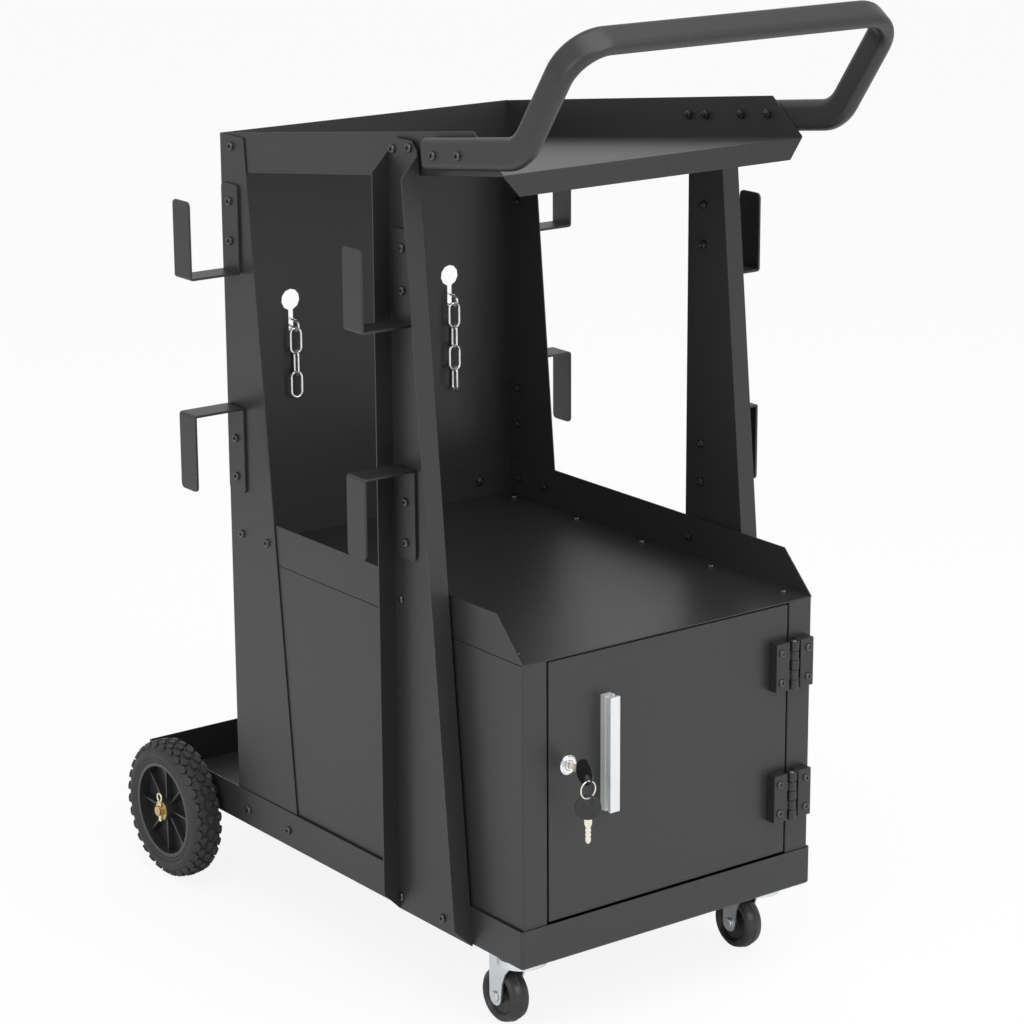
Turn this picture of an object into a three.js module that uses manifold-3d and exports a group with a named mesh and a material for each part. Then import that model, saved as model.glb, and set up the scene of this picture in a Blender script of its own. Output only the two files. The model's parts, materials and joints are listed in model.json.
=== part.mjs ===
// Welding cart: a sheet-metal cart with a lockable cabinet, a middle tray, an angled top tray,
// a gas-bottle shelf with a safety chain, cable hooks, two swivel casters and two rear wheels.
// Millimetres, +Z up, front of the cart towards -Y.

import * as THREE from 'three';
import { mergeVertices } from 'three/addons/utils/BufferGeometryUtils.js';
import { ParametricGeometry } from 'three/addons/geometries/ParametricGeometry.js';
import Module from 'manifold-3d';

const wasm = await Module();
wasm.setup();

// Clearances
const FIT = 0.3;
const DOOR_GAP = 1.5;
const WHEEL_GAP = 5;
const CHAIN_PLAY = 0.5;
const CHAIN_PANEL_GAP = 0.8;

// Sheet and bar thicknesses
const SHEET = 1.5;
const POST_SHEET = 2;
const HOOK_SHEET = 3;
const CHANNEL_SHEET = 3;

// Rear axle and wheels
const TYRE_RADIUS = 90;
const TYRE_WIDTH = 42;
const TYRE_SHOULDER = 9;
const RIM_RADIUS = 63;
const RIM_WALL = 5;
const HUB_WIDTH = 36;
const HUB_WEB = 5;
const HUB_BOSS_RADIUS = 14;
const HUB_RIBS = 8;
const HUB_RIB_SHEET = 2.4;
const HUB_RIB_DEPTH = 9;
const AXLE_DIAMETER = 13;
const AXLE_INSET = 105;
const AXLE_TIP = 9;
const WASHER_RADIUS = 13;
const WASHER_SHEET = 2;
const COTTER_WIRE = 1.1;
const COTTER_EYE = 4.5;
const COTTER_LEG = 13;

// Base tray
const BASE_WIDTH = 432;
const BASE_FLANGE = 47;
const CABINET_LENGTH = 598;
const BOTTLE_SHELF = 218;

// Cabinet, trays and back panel
const CABINET_HEIGHT = 358.5;
const JAMB_WIDTH = 34.5;
const JAMB_RETURN = 16;
const MIDDLE_FLANGE = 50;
const BAY_HEIGHT = 538.7;
const TOP_TILT = THREE.MathUtils.degToRad(7.3);
const TOP_SETBACK = 32.7;
const TOP_FLANGE = 47;
const TOP_LIP = 24.5;
const TOP_LIP_CUT = 21;
const UPRIGHT_TOP = 53;
const UPRIGHT_FOOT = 139;
const KEYHOLE_SPACING = 240;
const KEYHOLE_HEIGHT = 298.7;
const KEYHOLE_RADIUS = 13.25;
const KEYHOLE_SLOT = 7;
const KEYHOLE_DROP = 40;

// Front posts
const POST_BACK = 239;
const POST_TOP = 55;
const POST_FOOT = 145;
const POST_FLANGE = 24;
const POST_TOP_DROP = 3;
const POST_TOP_CUT = 10;
const POST_FLANGE_DROP = 16;
const POST_FLANGE_CUT = 22;
const POST_BOSS_RADIUS = 8;
const POST_BOSS_EDGE = 11;
const POST_BOSS_PITCH = 31;

// Push handle
const TUBE_WIDE = 36;
const TUBE_NARROW = 18;
const HANDLE_LEG = 122;
const HANDLE_REACH = 51;
const HANDLE_RISE = 152;
const HANDLE_ANGLE = THREE.MathUtils.degToRad(55);
const HANDLE_LEG_BEND = 54;
const HANDLE_CORNER_BEND = 44;

// Cable hooks
const HOOK_WIDTH = 36;
const HOOK_PLATE = 108;
const HOOK_ARM = 71;
const HOOK_LIP = 95;
const HOOK_CORNER = 7;
const HOOK_UPPER = 348;
const HOOK_LOWER = 183.7;
const HOOK_FRONT_INSET = 30;
const HOOK_REAR_INSET = 23;

// Door, hinges and pull
const DOOR_RETURN = 15;
const HINGE_HEIGHT = 59;
const HINGE_LEAF = 28.5;
const HINGE_SHEET = 13;
const HINGE_THROAT = 8.5;
const HINGE_PIN_SET = 2;
const HINGE_KNUCKLES = 5;
const HINGE_UPPER_DROP = 71.6;
const HINGE_LOWER_RISE = 75.7;
const HINGE_AXIS_INSET = 0.4;
const KNUCKLE_RADIUS = 5.5;
const PIN_RADIUS = 2.5;
const PULL_FROM_EDGE = 80;
const PULL_WIDTH = 13.6;
const PULL_DEPTH = 19;
const PULL_NECK = 6;
const PULL_HEAD = 5;
const PULL_GROOVE = 4.5;
const PULL_LENGTH = 137;
const PULL_RISE = 120.5;

// Lock and keys
const LOCK_FROM_EDGE = 27;
const LOCK_RISE = 184;
const BEZEL_RADIUS = 11.75;
const BEZEL_SHEET = 3;
const BARREL_RADIUS = 8;
const PLUG_RADIUS = 5.5;
const CAM_LENGTH = 40;
const CAM_WIDTH = 15;
const CAM_SHEET = 2;
const KEY_SHEET = 2;
const KEY_BLADE = 7;
const KEY_BLADE_LENGTH = 18;
const KEY_NECK = 13;
const KEY_BOW = 15;
const KEY_HOLE = 4;
const KEY_HOLE_OUT = 8.5;
const KEY_HOLE_CHAMFER = 0.6;
const RING_RADIUS = 10.2;
const RING_WIRE = 0.9;
const SPARE_BLADE = 28;
const SPARE_LEAN_ROOM = 0.6;
const SPARE_TURN = THREE.MathUtils.degToRad(35);

// Casters
const CASTER_INSET = 39;
const CASTER_SWIVEL = 52;
const CASTER_TRAIL = 32;
const CASTER_RADIUS = 34;
const CASTER_WIDTH = 25;
const CASTER_PLATE = 2.5;
const CASTER_PLATE_WIDE = 48;
const CASTER_PLATE_LONG = 64;
const CASTER_RACE = 4;
const CASTER_RACE_RADIUS = 19;
const KINGPIN_RADIUS = 5;
const KINGPIN_HEAD = 8;
const KINGPIN_HEAD_SHEET = 3;
const FORK_SHEET = 2.5;
const FORK_LEG = 11;
const FORK_CROWN = 29;
const FORK_RIM = 6;
const CASTER_AXLE_RADIUS = 4;
const CASTER_AXLE_HEAD = 6.5;
const CASTER_AXLE_HEAD_SHEET = 3;

// Safety chain
const CHAIN_WIRE = 3.4;
const LINK_LENGTH = 35;
const LINK_WIDTH = 17;
const CHAIN_LEFT_LINKS = 3;
const CHAIN_RIGHT_LINKS = 4;
const CHAIN_LOOP_LINKS = 19;
const CHAIN_TWIST = THREE.MathUtils.degToRad(-12);
const LOOP_TWIST = THREE.MathUtils.degToRad(45);
const LOOP_OVERLAP = 0.6;

// Facets
const ARC_STEPS = 5;
const ROUND = 20;
const WHEEL_ROUND = 30;
const LINK_STEPS = 4;
const WIRE_ROUND = 6;
const WELD = 1e-4;
const OVER = 5;

// Heights and planes that follow from the sizes above
const AXLE_RADIUS = AXLE_DIAMETER / 2;
const BASE_Z = TYRE_RADIUS + AXLE_RADIUS + FIT + CHANNEL_SHEET;
const BASE_FLOOR = BASE_Z + SHEET;
const BASE_LENGTH = CABINET_LENGTH + BOTTLE_SHELF;
const BASE_X = BASE_WIDTH / 2;
const BACK_X = BASE_X - SHEET - FIT;
const TRAY_X = BACK_X - SHEET - FIT;
const FRONT_Y = SHEET + FIT;
const PANEL_Y = CABINET_LENGTH - SHEET;
const TRAY_BACK_Y = PANEL_Y - FIT;
const MIDDLE_Z = BASE_FLOOR + CABINET_HEIGHT;
const MIDDLE_FLOOR = MIDDLE_Z + SHEET;
const TOP_Y = TOP_SETBACK;
const TOP_Z = MIDDLE_FLOOR + BAY_HEIGHT;
const TOP_DEPTH = (TRAY_BACK_Y - TOP_Y - TOP_FLANGE * Math.sin(TOP_TILT)) / Math.cos(TOP_TILT);
const AXLE_Y = BASE_LENGTH - AXLE_INSET;

// Maps a point of the tilted top tray to the cart's Y and Z.
function onTopTray(along, above) {
  const y = TOP_Y + along * Math.cos(TOP_TILT) + above * Math.sin(TOP_TILT);
  const z = TOP_Z - along * Math.sin(TOP_TILT) + above * Math.cos(TOP_TILT);
  return { y, z };
}

const BACK_TOP = onTopTray(TOP_DEPTH, TOP_FLANGE).z;
const KEYHOLE_Z = MIDDLE_FLOOR + KEYHOLE_HEIGHT;
const SLOT_Z = KEYHOLE_Z - KEYHOLE_DROP;

// Materials
const coat = new THREE.MeshStandardMaterial({ color: 0x2a2a2b, roughness: 0.5, metalness: 0.3 });
const zinc = new THREE.MeshStandardMaterial({ color: 0xc9cdd1, roughness: 0.35, metalness: 0.9 });
const yellowZinc = new THREE.MeshStandardMaterial({ color: 0xc2a866, roughness: 0.4, metalness: 0.9 });
const chrome = new THREE.MeshStandardMaterial({ color: 0xe6e8ea, roughness: 0.12, metalness: 1 });
const satin = new THREE.MeshStandardMaterial({ color: 0xb4b6b8, roughness: 0.4, metalness: 0.9 });
const rubber = new THREE.MeshStandardMaterial({ color: 0x17181a, roughness: 0.8, metalness: 0 });
const plastic = new THREE.MeshStandardMaterial({ color: 0x1b1c1e, roughness: 0.5, metalness: 0 });

const cart = new THREE.Group();
cart.name = 'welding_cart';

// Welds a surface's points, drops collapsed faces and turns an inside-out shell the right way round.
function weld(geometry) {
  const bare = new THREE.BufferGeometry();
  bare.setAttribute('position', geometry.getAttribute('position'));
  if (geometry.getIndex()) bare.setIndex(geometry.getIndex());
  const merged = mergeVertices(bare, WELD);
  const index = merged.getIndex().array;
  const position = merged.getAttribute('position');
  const kept = [];
  const a = new THREE.Vector3();
  const b = new THREE.Vector3();
  const c = new THREE.Vector3();
  let volume = 0;
  for (let i = 0; i < index.length; i += 3) {
    const [p, q, r] = [index[i], index[i + 1], index[i + 2]];
    if (p === q || q === r || r === p) continue;
    kept.push(p, q, r);
    a.fromBufferAttribute(position, p);
    b.fromBufferAttribute(position, q);
    c.fromBufferAttribute(position, r);
    volume += a.dot(b.cross(c));
  }
  if (volume < 0) kept.reverse();
  merged.setIndex(kept);
  return merged;
}

function solid(geometry) {
  return new wasm.Manifold(new wasm.Mesh({
    numProp: 3,
    vertProperties: Float32Array.from(geometry.getAttribute('position').array),
    triVerts: Uint32Array.from(geometry.getIndex().array),
  }));
}

function surface(manifold) {
  const mesh = manifold.getMesh();
  const geometry = new THREE.BufferGeometry();
  geometry.setAttribute('position', new THREE.BufferAttribute(Float32Array.from(mesh.vertProperties), 3));
  geometry.setIndex(Array.from(mesh.triVerts));
  return geometry;
}

function join(...pieces) {
  return surface(pieces.map(solid).reduce((whole, piece) => whole.add(piece)));
}

function cut(piece, ...tools) {
  return surface(tools.map(solid).reduce((whole, tool) => whole.subtract(tool), solid(piece)));
}

function common(piece, other) {
  return surface(solid(piece).intersect(solid(other)));
}

function add(name, geometry, material) {
  const clean = weld(geometry);
  clean.computeVertexNormals();
  const mesh = new THREE.Mesh(clean, material);
  mesh.name = name;
  cart.add(mesh);
}

function box(x0, x1, y0, y1, z0, z1) {
  const block = new THREE.BoxGeometry(x1 - x0, y1 - y0, z1 - z0);
  return weld(block.translate((x0 + x1) / 2, (y0 + y1) / 2, (z0 + z1) / 2));
}

function outline(points) {
  return new THREE.Shape(points.map(([u, v]) => new THREE.Vector2(u, v)));
}

function extrude(shape, depth, across, up, along) {
  const block = new THREE.ExtrudeGeometry(shape, { depth, bevelEnabled: false, curveSegments: ARC_STEPS });
  return block.applyMatrix4(new THREE.Matrix4().makeBasis(across, up, along));
}

const AXIS_X = new THREE.Vector3(1, 0, 0);
const AXIS_Y = new THREE.Vector3(0, 1, 0);
const AXIS_Z = new THREE.Vector3(0, 0, 1);
const BACKWARD = new THREE.Vector3(0, -1, 0);

// A shape drawn in X and Y, from one height to another.
function plan(shape, z0, z1) {
  return weld(extrude(shape, z1 - z0, AXIS_X, AXIS_Y, AXIS_Z).translate(0, 0, z0));
}

// A shape drawn in Y and Z, from one X to another.
function side(shape, x0, x1) {
  return weld(extrude(shape, x1 - x0, AXIS_Y, AXIS_Z, AXIS_X).translate(x0, 0, 0));
}

// A shape drawn in X and Z, from one Y to another.
function front(shape, y0, y1) {
  return weld(extrude(shape, y1 - y0, AXIS_X, AXIS_Z, BACKWARD).translate(0, y1, 0));
}

// A profile of [radius, position] pairs turned about an axis through a centre.
function turned(profile, axis, centre, steps = ROUND) {
  const lathe = new THREE.LatheGeometry(profile.map(([r, a]) => new THREE.Vector2(r, a)), steps);
  if (axis === 'x') lathe.rotateZ(-Math.PI / 2);
  if (axis === 'z') lathe.rotateX(Math.PI / 2);
  return weld(lathe.translate(...centre));
}

function drum(radius, from, to, axis, centre, steps = ROUND) {
  return turned([[0, from], [radius, from], [radius, to], [0, to]], axis, centre, steps);
}

function ring(inner, outer, from, to, axis, centre, steps = ROUND) {
  const profile = [[inner, from], [outer, from], [outer, to], [inner, to], [inner, from]];
  return turned(profile, axis, centre, steps);
}

function mirrored(geometry) {
  return weld(geometry.clone().scale(-1, 1, 1));
}

// A path through given stations, each a point with its direction.
class StationPath extends THREE.Curve {
  constructor(stations) {
    super();
    this.stations = stations;
  }

  station(u) {
    return this.stations[Math.round(u * (this.stations.length - 1))];
  }

  getPointAt(u) {
    return this.station(u).point.clone();
  }

  getTangentAt(u, target = new THREE.Vector3()) {
    return target.copy(this.station(u).direction);
  }
}

// Stations along straight runs with rounded corners of the given radii.
function roundedPath(points, radii, steps) {
  const stations = [];
  for (let i = 0; i < points.length; i += 1) {
    const here = points[i];
    const into = i > 0 ? here.clone().sub(points[i - 1]).normalize() : null;
    const out = i < points.length - 1 ? points[i + 1].clone().sub(here).normalize() : null;
    if (!into || !out) {
      stations.push({ point: here.clone(), direction: into ?? out });
      continue;
    }
    const turn = into.angleTo(out);
    const radius = radii[i - 1];
    const start = here.clone().addScaledVector(into, -radius * Math.tan(turn / 2));
    const inward = out.clone().addScaledVector(into, -into.dot(out)).normalize();
    const centre = start.clone().addScaledVector(inward, radius);
    for (let k = 0; k <= steps; k += 1) {
      const angle = turn * k / steps;
      const point = centre.clone().addScaledVector(inward, -radius * Math.cos(angle));
      point.addScaledVector(into, radius * Math.sin(angle));
      const direction = into.clone().multiplyScalar(Math.cos(angle)).addScaledVector(inward, Math.sin(angle));
      stations.push({ point, direction });
    }
  }
  return new StationPath(stations);
}

function tube(shape, path) {
  const steps = path.stations.length - 1;
  return weld(new THREE.ExtrudeGeometry(shape, { steps, extrudePath: path, curveSegments: ARC_STEPS }));
}

function circle(radius, steps) {
  const angles = Array.from({ length: steps }, (_, i) => 2 * Math.PI * i / steps);
  return outline(angles.map((angle) => [radius * Math.cos(angle), radius * Math.sin(angle)]));
}

// Base tray
add('base_tray', cut(
  box(-BASE_X, BASE_X, 0, BASE_LENGTH, BASE_Z, BASE_Z + BASE_FLANGE),
  box(-BASE_X + SHEET, BASE_X - SHEET, SHEET, BASE_LENGTH - SHEET, BASE_FLOOR, BASE_Z + BASE_FLANGE + OVER),
), coat);

// Axle channel, closed up against the underside of the base
const CHANNEL_Y = AXLE_RADIUS + FIT;
const CHANNEL_X = BASE_X - POST_SHEET;
add('axle_channel', cut(
  box(-CHANNEL_X, CHANNEL_X, AXLE_Y - CHANNEL_Y - CHANNEL_SHEET, AXLE_Y + CHANNEL_Y + CHANNEL_SHEET,
    TYRE_RADIUS - AXLE_RADIUS, BASE_Z),
  box(-CHANNEL_X - OVER, CHANNEL_X + OVER, AXLE_Y - CHANNEL_Y, AXLE_Y + CHANNEL_Y,
    TYRE_RADIUS - AXLE_RADIUS - OVER, BASE_Z - CHANNEL_SHEET),
), coat);

// Cabinet side panels with folded jambs
const JAMB_X = TRAY_X - JAMB_WIDTH;
const rightPanel = plan(outline([
  [JAMB_X, FRONT_Y], [TRAY_X, FRONT_Y], [TRAY_X, TRAY_BACK_Y], [TRAY_X - SHEET, TRAY_BACK_Y],
  [TRAY_X - SHEET, FRONT_Y + SHEET], [JAMB_X + SHEET, FRONT_Y + SHEET],
  [JAMB_X + SHEET, FRONT_Y + JAMB_RETURN], [JAMB_X, FRONT_Y + JAMB_RETURN],
]), BASE_FLOOR, MIDDLE_Z);
add('cabinet_right_panel', rightPanel, coat);
add('cabinet_left_panel', mirrored(rightPanel), coat);

// An open-fronted tray whose sides are cut back at 45 degrees in front.
function tray(halfWidth, y0, y1, under, floor, top) {
  const rise = top - floor;
  return cut(
    box(-halfWidth, halfWidth, y0, y1, under, top),
    box(-halfWidth + SHEET, halfWidth - SHEET, y0 - OVER, y1 - SHEET, floor, top + OVER),
    side(outline([[y0 - OVER, floor], [y0, floor], [y0 + rise, top], [y0 + rise, top + OVER],
      [y0 - OVER, top + OVER]]), -halfWidth - OVER, halfWidth + OVER),
  );
}

add('middle_tray', tray(TRAY_X, FRONT_Y, TRAY_BACK_Y, MIDDLE_Z, MIDDLE_FLOOR, MIDDLE_Z + MIDDLE_FLANGE), coat);

// Top tray, made level and then tilted down towards the rear
const topTray = join(
  tray(TRAY_X, 0, TOP_DEPTH, -SHEET, 0, TOP_FLANGE),
  front(outline([[-TRAY_X, 0], [-TRAY_X + TOP_LIP_CUT, -TOP_LIP], [TRAY_X - TOP_LIP_CUT, -TOP_LIP],
    [TRAY_X, 0]]), 0, SHEET),
);
add('top_tray', topTray.rotateX(-TOP_TILT).translate(0, TOP_Y, TOP_Z), coat);

// Back panel with its folded uprights and two keyholes
function keyhole(x) {
  const half = KEYHOLE_SLOT / 2;
  const neck = Math.asin(half / KEYHOLE_RADIUS);
  const shape = new THREE.Shape();
  shape.absarc(x, KEYHOLE_Z, KEYHOLE_RADIUS, -Math.PI / 2 + neck, 3 * Math.PI / 2 - neck, false);
  shape.lineTo(x - half, SLOT_Z + half);
  shape.absarc(x, SLOT_Z + half, half, Math.PI, 2 * Math.PI, false);
  shape.closePath();
  return front(shape, PANEL_Y - OVER, CABINET_LENGTH + OVER);
}

const uprightFront = CABINET_LENGTH - UPRIGHT_FOOT;
add('back_panel', cut(
  box(-BACK_X, BACK_X, uprightFront, CABINET_LENGTH, BASE_FLOOR, BACK_TOP),
  box(-BACK_X + SHEET, BACK_X - SHEET, uprightFront - OVER, PANEL_Y, BASE_FLOOR - OVER, BACK_TOP + OVER),
  side(outline([[uprightFront - OVER, BASE_FLOOR], [uprightFront, BASE_FLOOR],
    [CABINET_LENGTH - UPRIGHT_TOP, BACK_TOP], [CABINET_LENGTH - UPRIGHT_TOP, BACK_TOP + OVER],
    [uprightFront - OVER, BACK_TOP + OVER]]), -BACK_X - OVER, BACK_X + OVER),
  keyhole(-KEYHOLE_SPACING / 2),
  keyhole(KEYHOLE_SPACING / 2),
), coat);

// Front posts: tapered channels that open outward
const POST_X = BASE_X;
const POST_OUT = POST_X + POST_FLANGE;
const POST_Z = BASE_Z;
const postAlong = (POST_BACK - TOP_Y) / Math.cos(TOP_TILT);
const POST_HEAD = onTopTray(postAlong, TOP_FLANGE).z - POST_TOP_DROP;

function postFront(z) {
  return POST_BACK - THREE.MathUtils.mapLinear(z, POST_Z, POST_HEAD, POST_FOOT, POST_TOP);
}

const flangeHead = POST_HEAD - POST_FLANGE_DROP;
const postWeb = side(outline([
  [postFront(POST_Z), POST_Z], [POST_BACK, POST_Z], [POST_BACK, POST_HEAD - POST_TOP_CUT],
  [POST_BACK - POST_TOP_CUT, POST_HEAD], [postFront(POST_HEAD) + POST_TOP_CUT, POST_HEAD],
  [postFront(POST_HEAD - POST_TOP_CUT), POST_HEAD - POST_TOP_CUT],
]), POST_X, POST_X + POST_SHEET);
const postFlanges = join(
  box(POST_X, POST_OUT, POST_BACK - POST_SHEET, POST_BACK, POST_Z, POST_HEAD),
  side(outline([
    [postFront(POST_Z), POST_Z], [postFront(POST_Z) + POST_SHEET, POST_Z],
    [postFront(POST_HEAD) + POST_SHEET, POST_HEAD], [postFront(POST_HEAD), POST_HEAD],
  ]), POST_X, POST_OUT),
);
const flangeEnds = front(outline([
  [POST_X, POST_Z], [POST_X + POST_SHEET, POST_Z], [POST_OUT, POST_Z + POST_FLANGE_CUT],
  [POST_OUT, flangeHead - POST_FLANGE_CUT], [POST_X + POST_SHEET, flangeHead], [POST_X, flangeHead],
]), -OVER, POST_BACK + OVER);
const bossRow = [
  { y: POST_BACK - POST_BOSS_EDGE, z: MIDDLE_Z + MIDDLE_FLANGE / 2 },
  { y: POST_BACK - POST_BOSS_EDGE - POST_BOSS_PITCH, z: MIDDLE_Z + MIDDLE_FLANGE / 2 },
  onTopTray(postAlong - POST_BOSS_EDGE, TOP_FLANGE / 2),
  onTopTray(postAlong - POST_BOSS_EDGE - POST_BOSS_PITCH, TOP_FLANGE / 2),
];
const bosses = bossRow.map(({ y, z }) => drum(POST_BOSS_RADIUS, TRAY_X + FIT, POST_X + FIT, 'x', [0, y, z]));
const rightPost = join(postWeb, common(postFlanges, flangeEnds), ...bosses);
add('front_post_right', rightPost, coat);
add('front_post_left', mirrored(rightPost), coat);

// Push handle: one flat-oval tube bolted outside the top tray's sides
const HANDLE_X = TRAY_X + FIT + TUBE_NARROW / 2;
const handleEnd = onTopTray(HANDLE_LEG, TOP_FLANGE / 2);
const handleKnee = onTopTray(-HANDLE_REACH, TOP_FLANGE / 2);
const handleBar = {
  y: handleKnee.y - HANDLE_RISE * Math.cos(HANDLE_ANGLE),
  z: handleKnee.z + HANDLE_RISE * Math.sin(HANDLE_ANGLE),
};
const handleRun = [handleEnd, handleKnee, handleBar];
const handlePoints = [
  ...handleRun.map(({ y, z }) => new THREE.Vector3(-HANDLE_X, y, z)),
  ...handleRun.reverse().map(({ y, z }) => new THREE.Vector3(HANDLE_X, y, z)),
];
const handleRadii = [HANDLE_LEG_BEND, HANDLE_CORNER_BEND, HANDLE_CORNER_BEND, HANDLE_LEG_BEND];
const tubeFlat = (TUBE_WIDE - TUBE_NARROW) / 2;
const tubeShape = new THREE.Shape();
tubeShape.absarc(0, tubeFlat, TUBE_NARROW / 2, 0, Math.PI, false);
tubeShape.absarc(0, -tubeFlat, TUBE_NARROW / 2, Math.PI, 2 * Math.PI, false);
add('push_handle', tube(tubeShape, roundedPath(handlePoints, handleRadii, ARC_STEPS + 1)), coat);

// Cable hooks: a screwed plate, an arm outward and a lip
function tongue(y, z0, z1) {
  const half = HOOK_WIDTH / 2;
  const way = Math.sign(z1 - z0);
  const shape = new THREE.Shape();
  shape.moveTo(y - half, z0);
  shape.lineTo(y + half, z0);
  shape.lineTo(y + half, z1 - way * HOOK_CORNER);
  shape.quadraticCurveTo(y + half, z1, y + half - HOOK_CORNER, z1);
  shape.lineTo(y - half + HOOK_CORNER, z1);
  shape.quadraticCurveTo(y - half, z1, y - half, z1 - way * HOOK_CORNER);
  shape.closePath();
  return shape;
}

function hook(x, y, z, way) {
  const out = x + HOOK_ARM;
  const arm = [z, z + way * HOOK_SHEET].sort((a, b) => a - b);
  return join(
    side(tongue(y, z, z + way * HOOK_PLATE), x, x + HOOK_SHEET),
    box(x, out, y - HOOK_WIDTH / 2, y + HOOK_WIDTH / 2, ...arm),
    side(tongue(y, z, z + way * HOOK_LIP), out - HOOK_SHEET, out),
  );
}

const hookPlaces = [
  ['front', POST_X + POST_SHEET, POST_BACK - HOOK_FRONT_INSET],
  ['rear', BACK_X, CABINET_LENGTH - HOOK_REAR_INSET],
];
for (const [where, x, y] of hookPlaces) {
  const upper = hook(x, y, MIDDLE_FLOOR + HOOK_UPPER, 1);
  const lower = hook(x, y, MIDDLE_FLOOR + HOOK_LOWER, -1);
  add(`hook_${where}_right_upper`, upper, coat);
  add(`hook_${where}_right_lower`, lower, coat);
  add(`hook_${where}_left_upper`, mirrored(upper), coat);
  add(`hook_${where}_left_lower`, mirrored(lower), coat);
}

// Door pan
const DOOR_X = JAMB_X - DOOR_GAP;
const DOOR_LOW = BASE_Z + BASE_FLANGE + DOOR_GAP;
const DOOR_HIGH = MIDDLE_Z - DOOR_GAP;
const LOCK_X = -DOOR_X + LOCK_FROM_EDGE;
const LOCK_Z = DOOR_LOW + LOCK_RISE;
const DOOR_BACK = FRONT_Y + DOOR_RETURN;
const lockAt = [LOCK_X, 0, LOCK_Z];
add('door', cut(
  box(-DOOR_X, DOOR_X, FRONT_Y, DOOR_BACK, DOOR_LOW, DOOR_HIGH),
  box(-DOOR_X + SHEET, DOOR_X - SHEET, FRONT_Y + SHEET, DOOR_BACK + OVER, DOOR_LOW + SHEET, DOOR_HIGH - SHEET),
  drum(BARREL_RADIUS + FIT, -OVER, DOOR_BACK, 'y', lockAt),
), coat);

// Pull with a groove down each side
const PULL_X = -DOOR_X + PULL_FROM_EDGE;
const PULL_FRONT = FRONT_Y - PULL_DEPTH;
const pullHalf = PULL_WIDTH / 2;
const pullNeck = PULL_NECK / 2;
const neckFront = PULL_FRONT + PULL_HEAD;
const neckBack = neckFront + PULL_GROOVE;
const pullRight = [[pullHalf, PULL_FRONT], [pullHalf, neckFront], [pullNeck, neckFront],
  [pullNeck, neckBack], [pullHalf, neckBack], [pullHalf, FRONT_Y]];
const pullLeft = pullRight.map(([x, y]) => [-x, y]).reverse();
const pullShape = outline([...pullRight, ...pullLeft].map(([x, y]) => [x + PULL_X, y]));
add('door_pull', plan(pullShape, DOOR_LOW + PULL_RISE, DOOR_LOW + PULL_RISE + PULL_LENGTH), satin);

// Block hinges: the knuckles take turns, with the frame leaf's at both ends
const PIN_X = DOOR_X + HINGE_AXIS_INSET;
const HINGE_FRONT = FRONT_Y - HINGE_SHEET;
const PIN_Y = HINGE_FRONT + HINGE_PIN_SET;

function leaf(way, low, high, bands) {
  const near = PIN_X + way * HINGE_THROAT;
  const far = PIN_X + way * HINGE_LEAF;
  const [x0, x1] = way > 0 ? [near, far] : [far, near];
  const plate = box(x0, x1, HINGE_FRONT, FRONT_Y, low, high);
  const knuckles = bands.map(([z0, z1]) => {
    const [w0, w1] = way > 0 ? [PIN_X, near + FIT] : [near - FIT, PIN_X];
    const web = box(w0, w1, PIN_Y, PIN_Y + KNUCKLE_RADIUS, z0, z1);
    return join(web, drum(KNUCKLE_RADIUS, z0, z1, 'z', [PIN_X, PIN_Y, 0]));
  });
  const bore = drum(PIN_RADIUS + FIT, low - OVER, high + OVER, 'z', [PIN_X, PIN_Y, 0]);
  return cut(join(plate, ...knuckles), bore);
}

for (const [name, centre] of [['upper', DOOR_HIGH - HINGE_UPPER_DROP], ['lower', DOOR_LOW + HINGE_LOWER_RISE]]) {
  const low = centre - HINGE_HEIGHT / 2;
  const high = centre + HINGE_HEIGHT / 2;
  const pitch = HINGE_HEIGHT / HINGE_KNUCKLES;
  const bands = Array.from({ length: HINGE_KNUCKLES }, (_, k) => [low + k * pitch, low + (k + 1) * pitch]);
  const frameBands = bands.filter((_, k) => k % 2 === 0);
  const doorBands = bands.filter((_, k) => k % 2 === 1).map(([z0, z1]) => [z0 + FIT, z1 - FIT]);
  add(`${name}_hinge_frame_leaf`, leaf(1, low, high, frameBands), coat);
  add(`${name}_hinge_door_leaf`, leaf(-1, low, high, doorBands), coat);
  add(`${name}_hinge_pin`, drum(PIN_RADIUS, low, high, 'z', [PIN_X, PIN_Y, 0]), zinc);
}

// Lock: barrel through the door, turning plug, cam behind the jamb's folded edge
const LOCK_FACE = FRONT_Y - BEZEL_SHEET;
const CAM_Y = FRONT_Y + Math.max(JAMB_RETURN, DOOR_RETURN) + FIT;
add('lock_barrel', join(
  ring(PLUG_RADIUS + FIT, BEZEL_RADIUS, LOCK_FACE, FRONT_Y, 'y', lockAt),
  ring(PLUG_RADIUS + FIT, BARREL_RADIUS, LOCK_FACE, CAM_Y - FIT, 'y', lockAt),
), chrome);
const keySlot = KEY_SHEET / 2 + FIT;
add('lock_plug', cut(
  drum(PLUG_RADIUS, LOCK_FACE, CAM_Y, 'y', lockAt),
  box(LOCK_X - keySlot, LOCK_X + keySlot, LOCK_FACE - OVER, LOCK_FACE + KEY_BLADE_LENGTH + FIT,
    LOCK_Z - KEY_BLADE / 2 - FIT, LOCK_Z + KEY_BLADE / 2 + FIT),
), chrome);
const camEnd = LOCK_Z - CAM_LENGTH + CAM_WIDTH / 2;
const camShape = new THREE.Shape();
camShape.absarc(LOCK_X, LOCK_Z, CAM_WIDTH / 2, 0, Math.PI, false);
camShape.lineTo(LOCK_X - CAM_WIDTH / 2, camEnd - CAM_WIDTH / 2);
camShape.lineTo(LOCK_X + CAM_WIDTH / 2, camEnd - CAM_WIDTH / 2);
camShape.closePath();
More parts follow.
